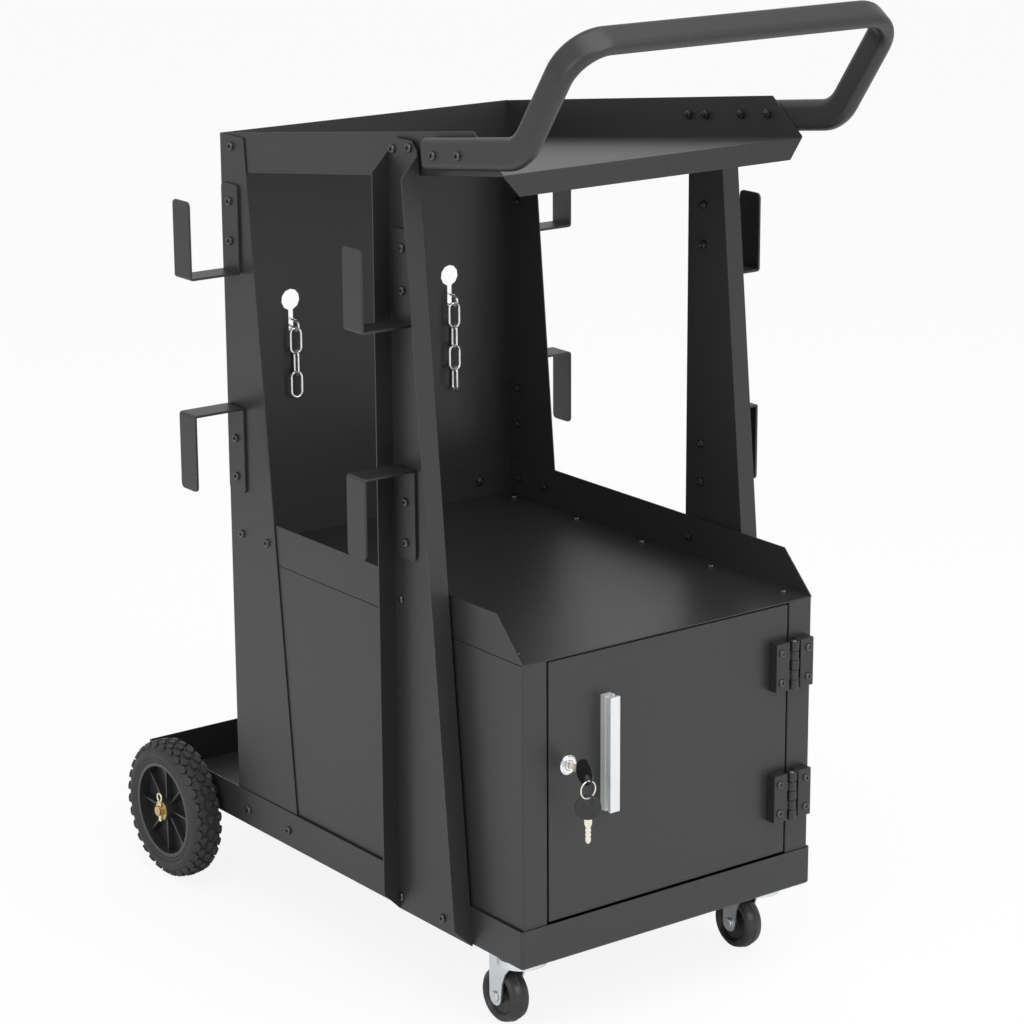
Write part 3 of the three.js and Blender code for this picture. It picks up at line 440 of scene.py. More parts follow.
def cad_copy(node: str) -> bpy.types.Object:
    """Copy a CAD node's mesh, weld it and join its flat faces.

    Args:
        node: The node's name.

    Returns:
        A new object at the origin.
    """
    source = frame["nodes"][node]
    mesh = source.data.copy()
    mesh.transform(source.matrix_world)
    obj = bpy.data.objects.new(node + "_look", mesh)
    bpy.context.collection.objects.link(obj)
    edit(obj)
    bpy.ops.mesh.select_all(action="SELECT")
    bpy.ops.mesh.remove_doubles(threshold=WELD_GAP)
    bpy.ops.mesh.dissolve_limited(angle_limit=math.radians(FLAT))
    deselect()
    return obj


def is_fold(edge: bmesh.types.BMEdge) -> bool:
    """Tell whether an edge is the outside of a sheet's fold, between two broad faces.

    Args:
        edge: The edge.

    Returns:
        Whether it is a fold.
    """
    if len(edge.link_faces) != 2 or not edge.is_convex:
        return False
    if edge.calc_face_angle(0.0) < math.radians(CORNER):
        return False
    return all(2 * face.calc_area() / face.calc_perimeter() >= BROAD * MM for face in edge.link_faces)


def sheet_piece(node: str, fold: float, edge: float = 0.35) -> None:
    """Make a folded, coated sheet from a CAD node: round folds and broken edges.

    Args:
        node: The CAD node.
        fold: Outside radius of its folds in millimetres.
        edge: Rounding of the sheet's own edges in millimetres.
    """
    obj = cad_copy(node)
    edit(obj)
    if select(obj, "edges", is_fold):
        bpy.ops.mesh.bevel(offset=fold * MM, segments=FOLD_STEPS, affect="EDGES", clamp_overlap=True)
    deselect()
    if edge:
        bevel(obj, edge)
    smooth(obj, CRISP)
    deliver(obj, node + "_sheet", body_of(node), COAT, [node])


def solid_piece(node: str, edge: float, finish: Finish) -> None:
    """Make a solid piece from a CAD node with its edges rounded.

    Args:
        node: The CAD node.
        edge: Edge radius in millimetres.
        finish: Its finish.
    """
    obj = cad_copy(node)
    bevel(obj, edge)
    smooth(obj, CRISP)
    deliver(obj, node + "_shaped", body_of(node), finish, [node])


def spun(
    profile: Sequence[tuple[float, float]], axis: Vector, centre: Vector, steps: int
) -> bpy.types.Object:
    """Spin a closed profile about an axis, as on a lathe.

    Args:
        profile: Radius and position along the axis, in millimetres.
        axis: Direction of the axis.
        centre: A point on the axis, in metres.
        steps: Steps round the axis.

    Returns:
        A closed object.
    """
    deselect()
    bpy.ops.mesh.primitive_circle_add(vertices=len(profile), radius=1)
    obj = bpy.context.object
    for vertex, (radius, along) in zip(obj.data.vertices, profile):
        vertex.co = (radius * MM, 0, along * MM)
    edit(obj)
    bpy.ops.mesh.select_all(action="SELECT")
    bpy.ops.mesh.spin(
        steps=steps, angle=math.tau, center=(0, 0, 0), axis=(0, 0, 1), use_auto_merge=False
    )
    bpy.ops.mesh.select_all(action="SELECT")
    bpy.ops.mesh.remove_doubles(threshold=SEAM_GAP)
    bpy.ops.mesh.normals_make_consistent(inside=False)
    deselect()
    obj.data.transform(Matrix.Translation(centre) @ turned(axis))
    return obj


def copies(model: bpy.types.Object, places: Iterable[Matrix]) -> bpy.types.Object:
    """Copy a model to many places and join the copies into one piece.

    Args:
        model: The model, made once at the origin; it is removed.
        places: Where each copy stands.

    Returns:
        The joined piece.
    """
    made = []
    for place in places:
        mesh = model.data.copy()
        mesh.transform(place)
        obj = bpy.data.objects.new(model.name, mesh)
        bpy.context.collection.objects.link(obj)
        made.append(obj)
    bpy.data.objects.remove(model)
    return joined(made)


def joined(pieces: Sequence[bpy.types.Object]) -> bpy.types.Object:
    """Join pieces into the first of them.

    Args:
        pieces: The pieces, two or more.

    Returns:
        The first piece, with the others in it.
    """
    activate(pieces[0])
    for obj in pieces:
        obj.select_set(True)
    bpy.ops.object.join()
    return bpy.context.object


def skinned(verts: Sequence[Sequence[float]], faces: Sequence[Sequence[int]]) -> bpy.types.Object:
    """Make an object from corners and faces, and leave it open in edit mode with all selected.

    Args:
        verts: The corners in metres.
        faces: Each face's corners by number.

    Returns:
        The object.
    """
    mesh = bpy.data.meshes.new("skin")
    mesh.from_pydata(verts, [], faces)
    obj = bpy.data.objects.new("skin", mesh)
    bpy.context.collection.objects.link(obj)
    edit(obj)
    bpy.ops.mesh.select_all(action="SELECT")
    return obj


def swept(
    section: Sequence[tuple[float, float]],
    stations: Sequence[tuple[Vector, Vector]],
    closed: bool = False,
) -> bpy.types.Object:
    """Sweep a section along stations without twist, starting with its first axis to the right.

    Args:
        section: The section's points in millimetres, across and up.
        stations: Points in metres with the path's direction there.
        closed: Whether the path joins back to its start.

    Returns:
        A closed tube.
    """
    verts: list[Vector] = []
    faces: list[tuple[int, ...]] = []
    side = RIGHTWARD
    last = stations[0][1].normalized()
    count = len(section)
    for point, direction in stations:
        ahead = direction.normalized()
        side = last.rotation_difference(ahead) @ side
        up = ahead.cross(side)
        last = ahead
        verts.extend(point + (side * u + up * v) * MM for u, v in section)
    rings = len(stations)
    for ring in range(rings if closed else rings - 1):
        here, there = ring * count, (ring + 1) % rings * count
        for k in range(count):
            j = (k + 1) % count
            faces.append((here + k, here + j, there + j, there + k))
    if not closed:
        faces.append(tuple(reversed(range(count))))
        faces.append(tuple(range((rings - 1) * count, rings * count)))
    obj = skinned(verts, faces)
    bpy.ops.mesh.normals_make_consistent(inside=False)
    deselect()
    return obj


def extruded(points: Sequence[tuple[float, float]], thickness: float) -> bpy.types.Object:
    """Cut a flat outline from sheet, standing in X and Z about the origin.

    Args:
        points: The outline in millimetres.
        thickness: The sheet's thickness in millimetres.

    Returns:
        The cut plate.
    """
    verts = [(x * MM, -thickness / 2 * MM, z * MM) for x, z in points]
    obj = skinned(verts, [range(len(verts))])
    bpy.ops.mesh.extrude_region_move(TRANSFORM_OT_translate={"value": (0, thickness * MM, 0)})
    bpy.ops.mesh.select_all(action="SELECT")
    bpy.ops.mesh.normals_make_consistent(inside=False)
    deselect()
    return obj


def upright_cylinder(radius: float, height: float, sides: int) -> bpy.types.Object:
    """Make a cylinder that stands on the origin.

    Args:
        radius: Its radius in millimetres.
        height: Its height in millimetres.
        sides: Its number of sides.

    Returns:
        The cylinder.
    """
    deselect()
    bpy.ops.mesh.primitive_cylinder_add(
        vertices=sides, radius=radius * MM, depth=height * MM, location=(0, 0, height / 2 * MM)
    )
    obj = bpy.context.object
    settle(obj)
    return obj


def round_section(radius: float, sides: int) -> list[tuple[float, float]]:
    """Return the points of a round section in millimetres."""
    angles = [math.tau * k / sides for k in range(sides)]
    return [(radius * math.cos(angle), radius * math.sin(angle)) for angle in angles]


def rounded_run(
    points: Sequence[Vector], radii: Sequence[float], steps: int
) -> list[tuple[Vector, Vector]]:
    """Lay stations along straight runs with rounded corners.

    Args:
        points: Corners in metres.
        radii: Radius of each inner corner in millimetres.
        steps: Steps round each corner.

    Returns:
        Points with directions.
    """
    stations = [(points[0], (points[1] - points[0]).normalized())]
    for before, corner, after, bend in zip(points, points[1:], points[2:], radii):
        radius = bend * MM
        into, out = (corner - before).normalized(), (after - corner).normalized()
        turn = into.angle(out)
        start = corner - into * (radius * math.tan(turn / 2))
        inward = (out - into * into.dot(out)).normalized()
        centre = start + inward * radius
        for k in range(steps + 1):
            angle = turn * k / steps
            point = centre + (into * math.sin(angle) - inward * math.cos(angle)) * radius
            stations.append((point, into * math.cos(angle) + inward * math.sin(angle)))
    stations.append((points[-1], (points[-1] - points[-2]).normalized()))
    return stations


# Sub-assemblies


@dataclass
class SheetMetal:
    """Trays, panels, posts, hooks and door of folded sheet, with the hinges and the pull."""

    base_fold: float = 3.8
    tray_fold: float = 2.6
    panel_fold: float = 2.2
    door_fold: float = 2.4
    post_fold: float = 3.0
    hook_fold: float = 4.0
    hook_edge: float = 0.5
    block_edge: float = 0.8
    pin_edge: float = 0.4
    plain_edge: float = 0.5

    def build(self) -> None:
        """Make every piece from its solid."""
        folds = {
            "base_tray": self.base_fold,
            "middle_tray": self.tray_fold,
            "top_tray": self.tray_fold,
            "back_panel": self.panel_fold,
            "cabinet_left_panel": self.panel_fold,
            "cabinet_right_panel": self.panel_fold,
            "door": self.door_fold,
        }
        for node, fold in folds.items():
            sheet_piece(node, fold)
        for side in SIDES:  # the posts' cut edges stay sharp
            sheet_piece(f"front_post_{side}", self.post_fold, 0.0)
        for node in frame["nodes"]:
            if node.startswith("hook_"):
                sheet_piece(node, self.hook_fold, self.hook_edge)
        for level in LEVELS:
            solid_piece(f"{level}_hinge_frame_leaf", self.block_edge, BLOCK)
            solid_piece(f"{level}_hinge_door_leaf", self.block_edge, BLOCK)
            solid_piece(f"{level}_hinge_pin", self.pin_edge, ZINC)
        solid_piece("axle_channel", self.plain_edge, COAT)
        solid_piece("door_pull", self.plain_edge, SATIN)


@dataclass
class PushHandle:
    """The bent flat-oval tube."""

    wide: float = 36.0
    narrow: float = 18.0
    half_width: float = 221.7
    leg: float = 122.0
    reach: float = 51.0
    rise: float = 152.0
    angle: float = 55.0
    leg_bend: float = 54.0
    corner_bend: float = 44.0
    end_edge: float = 1.0
    tilt: float = 7.3
    tray_front: tuple[float, float] = (32.7, 1000.0)
    mid_flange: float = 23.5
    section_steps: int = 9
    bend_steps: int = 12

    def on_tray(self, along: float, above: float) -> tuple[float, float]:
        """Find a point given along and above the tilted top tray.

        Args:
            along: Distance back from the tray's front edge.
            above: Distance above its floor.

        Returns:
            The point's Y and Z in millimetres.
        """
        tilt = math.radians(self.tilt)
        y = self.tray_front[0] + along * math.cos(tilt) + above * math.sin(tilt)
        z = self.tray_front[1] - along * math.sin(tilt) + above * math.cos(tilt)
        return y, z

    def section(self) -> list[tuple[float, float]]:
        """Draw the flat-oval section.

        Returns:
            Its points in millimetres.
        """
        radius, flat = self.narrow / 2, (self.wide - self.narrow) / 2
        angles = [math.pi * k / self.section_steps for k in range(self.section_steps + 1)]
        top = [(radius * math.cos(angle), flat + radius * math.sin(angle)) for angle in angles]
        return top + [(-u, -v) for u, v in top]

    def build(self) -> None:
        """Sweep the tube and break its cut ends."""
        knee = self.on_tray(-self.reach, self.mid_flange)
        lift = math.radians(self.angle)
        bar = (knee[0] - self.rise * math.cos(lift), knee[1] + self.rise * math.sin(lift))
        run = [self.on_tray(self.leg, self.mid_flange), knee, bar]
        points = [at(-self.half_width, *spot) for spot in run]
        points += [at(self.half_width, *spot) for spot in reversed(run)]
        radii = (self.leg_bend, self.corner_bend, self.corner_bend, self.leg_bend)
        obj = swept(self.section(), rounded_run(points, radii, self.bend_steps))
        bevel(obj, self.end_edge, angle=WIRE)
        smooth(obj, TUBE)
        deliver(obj, "push_handle_tube", "cart", COAT, ["push_handle"])


@dataclass(frozen=True)
class Row:
    """Fasteners on one side face: the face's distance from the middle, and spots back and up."""

    face: float
    spots: Sequence[tuple[float, float]]

    def places(self, sign: int, facing: Facing) -> list[Matrix]:
        """Return the places at the left (sign -1) or at the right (sign 1)."""
        return [facing.stand(at(sign * self.face, y, z)) for y, z in self.spots]


HOOK_LEVELS = (896.0, 848.0, 604.0, 556.0)
FRONT_HOOKS = [(209.0, z) for z in HOOK_LEVELS]
REAR_HOOKS = [(575.0, z) for z in HOOK_LEVELS]
TRAY_SIDE = 210.9
# Heads outside on the posts, push handle, rear uprights, base, front hooks and rear hooks
OUTER_ROWS = (
    Row(218.0, ((228.6, 1004.0), (197.0, 1009.0), (225.0, 484.8), (233.0, 116.0), (150.0, 116.0))),
    Row(230.7, ((134.0, 1010.0), (88.0, 1015.5))),
    Row(214.2, ((572.0, 962.0), (571.5, 483.0), (515.0, 484.0))),
    Row(216.0, ((571.5, 122.0), (480.0, 122.5))),
    Row(221.0, FRONT_HOOKS),
    Row(217.2, REAR_HOOKS),
)
# Nuts inside on the middle tray, behind the front hooks and behind the rear hooks
INNER_ROWS = (
    Row(TRAY_SIDE, ((225.0, 484.0), (515.0, 484.0), (571.5, 484.0))),
    Row(216.0, FRONT_HOOKS),
    Row(212.7, REAR_HOOKS),
)


@dataclass
class ScrewHeads:
    """Black button-head screws, nuts and hinge screws."""

    radius: float = 5.2
    height: float = 3.2
    sides: int = 18
    # Shares of the head's radius, then of its height
    crown_inset: float = 0.42
    socket_inset: float = 0.1
    socket_depth: float = 0.5
    crown_round: float = 0.55
    crown_steps: int = 3
    nut_radius: float = 5.6
    nut_height: float = 4.2
    nut_flat: float = 0.86  # distance to a flat, as a share of the radius
    nut_edge: float = 0.5
    stub_radius: float = 2.9
    stub_height: float = 4.0
    floor_x: float = 197.0
    floor_z: float = 461.3
    floor_rows: tuple[float, ...] = (35.0, 167.0, 300.0, 432.0, 565.0)
    panel_x: float = 163.0
    panel_back: float = 598.0
    panel_front: float = 594.7
    panel_low: float = 482.0
    panel_high: float = 953.0
    caster_z: float = 97.3
    caster_columns: tuple[float, ...] = (158.5, 195.5)
    caster_rows: tuple[float, ...] = (26.0, 85.0)
    handle_nuts: tuple[float, ...] = (197.5, 165.5, 102.0, 55.5)
    handle_nut_lift: float = 3.0
    hinge_radius: float = 4.6
    hinge_height: float = 2.4
    hinge_sheet: float = 13.0
    hinge_sink: float = 0.2
    hinge_edge: float = 8.2
    hinge_pitch: float = 18.0

    def head(self, radius: float, height: float) -> bpy.types.Object:
        """Model one button head with a round socket, standing on the origin.

        Args:
            radius: Head radius in millimetres.
            height: Head height in millimetres.

        Returns:
            The head.
        """

        def is_rim(edge: bmesh.types.BMEdge) -> bool:
            """Tell whether an edge runs round the top of the head."""
            spots = [vertex.co for vertex in edge.verts]
            outside = all(abs(co.xy.length - radius * MM) < SEAM_GAP for co in spots)
            return outside and all(co.z > height * LEVEL * MM for co in spots)

        obj = upright_cylinder(radius, height, self.sides)
        edit(obj)
        select(obj, "faces", looks_up)
        bpy.ops.mesh.inset(thickness=radius * self.crown_inset * MM)
        bpy.ops.mesh.inset(thickness=radius * self.socket_inset * MM)
        sink = (0, 0, -height * self.socket_depth * MM)
        bpy.ops.mesh.extrude_region_move(TRANSFORM_OT_translate={"value": sink})
        select(obj, "edges", is_rim)
        offset = height * self.crown_round * MM
        bpy.ops.mesh.bevel(offset=offset, segments=self.crown_steps, affect="EDGES")
        deselect()
        smooth(obj, TURNED_PIECE)
        return obj

    def nut(self) -> bpy.types.Object:
        """Model one nut with the end of its bolt standing out of it, on the origin.

        Returns:
            The nut.
        """
        obj = upright_cylinder(self.nut_radius, self.nut_height, HEXAGON)
        edit(obj)
        select(obj, "faces", looks_up)
        bpy.ops.mesh.inset(thickness=(self.nut_radius * self.nut_flat - self.stub_radius) * MM)
        rise = (0, 0, self.stub_height * MM)
        bpy.ops.mesh.extrude_region_move(TRANSFORM_OT_translate={"value": rise})
        deselect()
        bevel(obj, self.nut_edge, angle=TUBE)
        smooth(obj, SMALL_PIECE)
        return obj

    def head_places(self) -> list[Matrix]:
        """Lay out the frame's button heads.

        Returns:
            Where each stands.
        """
        places = []
        for sign, outward in ((-1, Facing.LEFT), (1, Facing.RIGHT)):
            for row in OUTER_ROWS:
                places += row.places(sign, outward)
            floor = [at(sign * self.floor_x, y, self.floor_z) for y in self.floor_rows]
            places += [Facing.UP.stand(spot) for spot in floor]
            levels = (self.panel_low, self.panel_high)
            panel = [at(sign * self.panel_x, self.panel_back, z) for z in levels]
            places += [Facing.BACK.stand(spot) for spot in panel]
            for x in self.caster_columns:
                under = [at(sign * x, y, self.caster_z) for y in self.caster_rows]
                places += [Facing.DOWN.stand(spot) for spot in under]
        return places

    def nut_places(self) -> list[Matrix]:
        """Lay out the nuts inside the frame.

        Returns:
            Where each stands.
        """
        handle = PushHandle()
        above = handle.mid_flange + self.handle_nut_lift
        tray = Row(TRAY_SIDE, [handle.on_tray(along, above) for along in self.handle_nuts])
        places = []
        for sign, inward in ((-1, Facing.RIGHT), (1, Facing.LEFT)):
            for row in (tray, *INNER_ROWS):
                places += row.places(sign, inward)
            places.append(Facing.FRONT.stand(at(sign * self.panel_x, self.panel_front, self.panel_low)))
        return places

    def leaf_places(self, node: str, inward: int) -> list[Matrix]:
        """Lay out a hinge leaf's two screws.

        Args:
            node: The leaf's CAD node.
            inward: Which way the knuckles are from its outer edge, 1 for right and -1 for left.

        Returns:
            Where each stands.
        """
        low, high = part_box(node)
        outer = low[0] if inward > 0 else high[0]
        x = outer + inward * self.hinge_edge * MM
        middle = (low[2] + high[2]) / 2
        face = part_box("door")[0][1] - (self.hinge_sheet - self.hinge_sink) * MM
        spots = [Vector((x, face, middle + side * self.hinge_pitch * MM)) for side in (-1, 1)]
        return [Facing.FRONT.stand(spot) for spot in spots]

    def build(self) -> None:
        """Model each kind once and copy it round the cart."""
        heads = copies(self.head(self.radius, self.height), self.head_places())
        deliver(heads, "frame_screws", "cart", HARDWARE)
        deliver(copies(self.nut(), self.nut_places()), "frame_nuts", "cart", HARDWARE)
        for leaf, body, inward in (("door", "door", 1), ("frame", "cart", -1)):
            places = []
            for level in LEVELS:
                places += self.leaf_places(f"{level}_hinge_{leaf}_leaf", inward)
            screws = copies(self.head(self.hinge_radius, self.hinge_height), places)
            deliver(screws, f"hinge_{leaf}_screws", body, SCREW)


@dataclass
class LockAndKeys:
    """The cam lock on the door with its key, ring and spare key."""

    x: float = -149.4
    z: float = 332.3
    face: float = -1.2
    # The barrel's radii and its depths behind the face
    bore: float = 5.8
    lip: float = 6.6
    flat: float = 9.6
    bezel: float = 11.75
    shank: float = 8.0
    lip_depth: float = 0.4
    slope_depth: float = 1.4
    bezel_depth: float = 3.0
    shank_depth: float = 19.0
    barrel_edge: float = 0.25
    barrel_steps: int = 40
    nut_bore: float = 8.4
    nut_radius: float = 12.2
    nut_front: float = 3.4
    nut_back: float = 7.4
    nut_edge: float = 0.4
    plug_edge: float = 0.3
    cam_edge: float = 0.4
    ring: float = 10.2
    wire: float = 0.9
    ring_steps: int = 56
    bow: float = 15.0
    bow_sheet: float = 2.2
    bow_edge: float = 0.9
    bow_steps: int = 3
    bow_sides: int = 44
    bow_smooth: float = 40.0
    hole_radius: float = 4.7
    hole_sides: int = 28
    drill: float = 8.8
    hole_out: float = 8.5
    neck: float = 13.0
    seated: float = 17.0
    spare_blade: float = 28.0
    spare_turn: float = 35.0
    blade_sheet: float = 1.8
    blade_edge: float = 0.25
    # Half widths of the blade, with distances down from the bow, from a cut and up from the tip
    shoulder: tuple[tuple[float, float], ...] = ((4.4, -1.5), (4.4, 5.0), (3.4, 6.0))
    cut: tuple[tuple[float, float], ...] = ((3.4, -1.2), (2.1, 0.0), (3.2, 1.6))
    tip: tuple[tuple[float, float], ...] = ((3.0, 3.0), (1.0, 0.0))
    first_cut: float = 9.0
    cut_pitch: float = 5.2
    uncut_tip: float = 7.0

    def build(self) -> None:
        """Make the lock's turned pieces, the ring and the keys."""
        centre = at(self.x, 0, self.z)
        profile = [
            (self.bore, self.lip_depth), (self.lip, 0.0), (self.flat, 0.0), (self.bezel, self.slope_depth),
            (self.bezel, self.bezel_depth), (self.shank, self.bezel_depth), (self.shank, self.shank_depth),
            (self.bore, self.shank_depth),
        ]
        barrel = spun([(r, -self.face - a) for r, a in profile], FORWARD, centre, self.barrel_steps)
        bevel(barrel, self.barrel_edge, angle=SMALL_PIECE)
        smooth(barrel, SMALL_PIECE)
        deliver(barrel, "lock_bezel", "door", CHROME, ["lock_barrel"])
        profile = [
            (self.nut_bore, -self.nut_front), (self.nut_radius, -self.nut_front),
            (self.nut_radius, -self.nut_back), (self.nut_bore, -self.nut_back),
        ]
        nut = spun(profile, FORWARD, centre, HEXAGON)
        bevel(nut, self.nut_edge)
        deliver(nut, "lock_nut", "door", ZINC)
        solid_piece("lock_plug", self.plug_edge, CHROME)
        solid_piece("lock_cam", self.cam_edge, ZINC)
        self.build_ring()
        self.build_keys()

    def build_ring(self) -> None:
        """Bend the key ring from round wire."""
        middle = middle_of("key_ring")
        stations = []
        for k in range(self.ring_steps):
            angle = math.tau * k / self.ring_steps
            outward = Vector((math.cos(angle), 0, math.sin(angle)))
            along = Vector((-math.sin(angle), 0, math.cos(angle)))
            stations.append((middle + outward * self.ring * MM, along))
        obj = swept(round_section(self.wire, WIRE_SIDES), stations, closed=True)
        smooth(obj, WIRE)
        deliver(obj, "key_split_ring", "key_ring", RING, ["key_ring"])

    def build_keys(self) -> None:
        """Make the key in the lock and the spare key that hangs from the ring."""
        low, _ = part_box("lock_key")
        middle = middle_of("lock_key")
        bow = Vector((middle.x, low[1] + self.bow * MM, middle.z))
        lying = Matrix(((0, -1, 0, 0), (0, 0, -1, 0), (1, 0, 0, 0), (0, 0, 0, 1)))
        slant = self.hole_out * math.sqrt(0.5)
        place = Matrix.Translation(bow) @ lying
        self.build_key("lock_key", place, (-slant, slant), self.neck + self.seated)
        _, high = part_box("spare_key")
        middle = middle_of("spare_key")
        bow = Vector((middle.x, middle.y, high[2] - self.bow * MM))
        place = Matrix.Translation(bow) @ Matrix.Rotation(math.radians(-self.spare_turn), 4, "Z")
        self.build_key("spare_key", place, (0.0, self.hole_out), self.spare_blade)

    def build_key(self, node: str, place: Matrix, hole: tuple[float, float], length: float) -> None:
        """Model one key about its bow's middle, blade down, and put it in place.

        Args:
            node: The CAD node that it stands for.
            place: Where it goes.
            hole: The bow's hole, across and up from its middle, in millimetres.
            length: The blade's length beyond the bow in millimetres.
        """
        for piece, name, finish in (
            (self.key_blade(length), "_blade", BLADE),
            (self.key_bow(hole), "_bow", BOW),
        ):
            piece.data.transform(place)
            deliver(piece, node + name, body_of(node), finish, [node])

    def key_blade(self, length: float) -> bpy.types.Object:
        """Cut a blade with notches on both edges.

        Args:
            length: Its length beyond the bow in millimetres.

        Returns:
            The blade.
        """
        end = -self.bow - length
        right = [(half, -self.bow - down) for half, down in self.shoulder]
        depth = -self.bow - self.first_cut
        while depth > end + self.uncut_tip:
            right += [(half, depth - down) for half, down in self.cut]
            depth -= self.cut_pitch
        right += [(half, end + up) for half, up in self.tip]
        blade = extruded(right + [(-x, z) for x, z in reversed(right)], self.blade_sheet)
        bevel(blade, self.blade_edge, 1)
        smooth(blade, SMALL_PIECE)
        return blade

    def key_bow(self, hole: tuple[float, float]) -> bpy.types.Object:
        """Model a round bow and drill its hole.

        Args:
            hole: The hole, across and up from the bow's middle, in millimetres.

        Returns:
            The bow.
        """
        deselect()
        across = (math.pi / 2, 0, 0)
        bpy.ops.mesh.primitive_cylinder_add(
            vertices=self.bow_sides, radius=self.bow * MM, depth=self.bow_sheet * MM, rotation=across
        )
        bow = bpy.context.object
        settle(bow)
        bpy.ops.mesh.primitive_cylinder_add(
            vertices=self.hole_sides, radius=self.hole_radius * MM, depth=self.drill * MM,
            location=(hole[0] * MM, 0, hole[1] * MM), rotation=across,
        )
        drill = bpy.context.object
        cut = bow.modifiers.new("hole", "BOOLEAN")
        cut.object = drill
        cut.operation = "DIFFERENCE"
        settle(bow)
        bpy.data.objects.remove(drill)
        bevel(bow, self.bow_edge, self.bow_steps)
        smooth(bow, self.bow_smooth)
        return bow


@dataclass
class Casters:
    """The two swivel casters."""

    radius: float = 34.0
    half_width: float = 12.5
    bore: float = 4.3
    plate_edge: float = 0.5
    fork_edge: float = 0.7
    axle_edge: float = 0.9
    steps: int = 56
    # The wheel's side: drop from the rim, and place as a share of the half width
    side_profile: tuple[tuple[float, float], ...] = (
        (0.0, 0.032), (0.6, 0.064), (1.1, 0.45), (2.4, 0.78), (5.0, 0.96), (8.0, 1.0), (10.5, 0.9),
        (12.5, 0.62), (20.0, 0.55), (24.0, 0.7), (25.4, 1.0),
    )

    def build(self) -> None:
        """Make plates, forks, axles and smooth wheels."""
        for side in SIDES:
            solid_piece(f"caster_{side}_plate", self.plate_edge, ZINC)
            solid_piece(f"caster_{side}_fork", self.fork_edge, ZINC)
            solid_piece(f"caster_{side}_axle", self.axle_edge, ZINC)
            self.build_wheel(side)

    def build_wheel(self, side: str) -> None:
        """Spin one wheel with a crowned tread, a mould seam and dished sides.

        Args:
            side: "left" or "right".
        """
        half = self.half_width
        right = [(self.radius - drop, half * share) for drop, share in self.side_profile]
        right.append((self.bore, half))
        profile = [(r, -a) for r, a in reversed(right)] + right
        wheel = spun(profile, RIGHTWARD, middle_of(f"caster_{side}_wheel"), self.steps)
        smooth(wheel, TURNED_PIECE)
        body = f"caster_{side}_roller"
        deliver(wheel, f"caster_{side}_roller_wheel", body, WHEEL, [f"caster_{side}_wheel"])


@dataclass(frozen=True)
class TreadRow:
    """One ring of tread blocks; its place across and its lean go by shares of the half width."""

    share: float
    phase: float  # turn, in blocks
    sink: float
    lean: float  # radians at the full half width


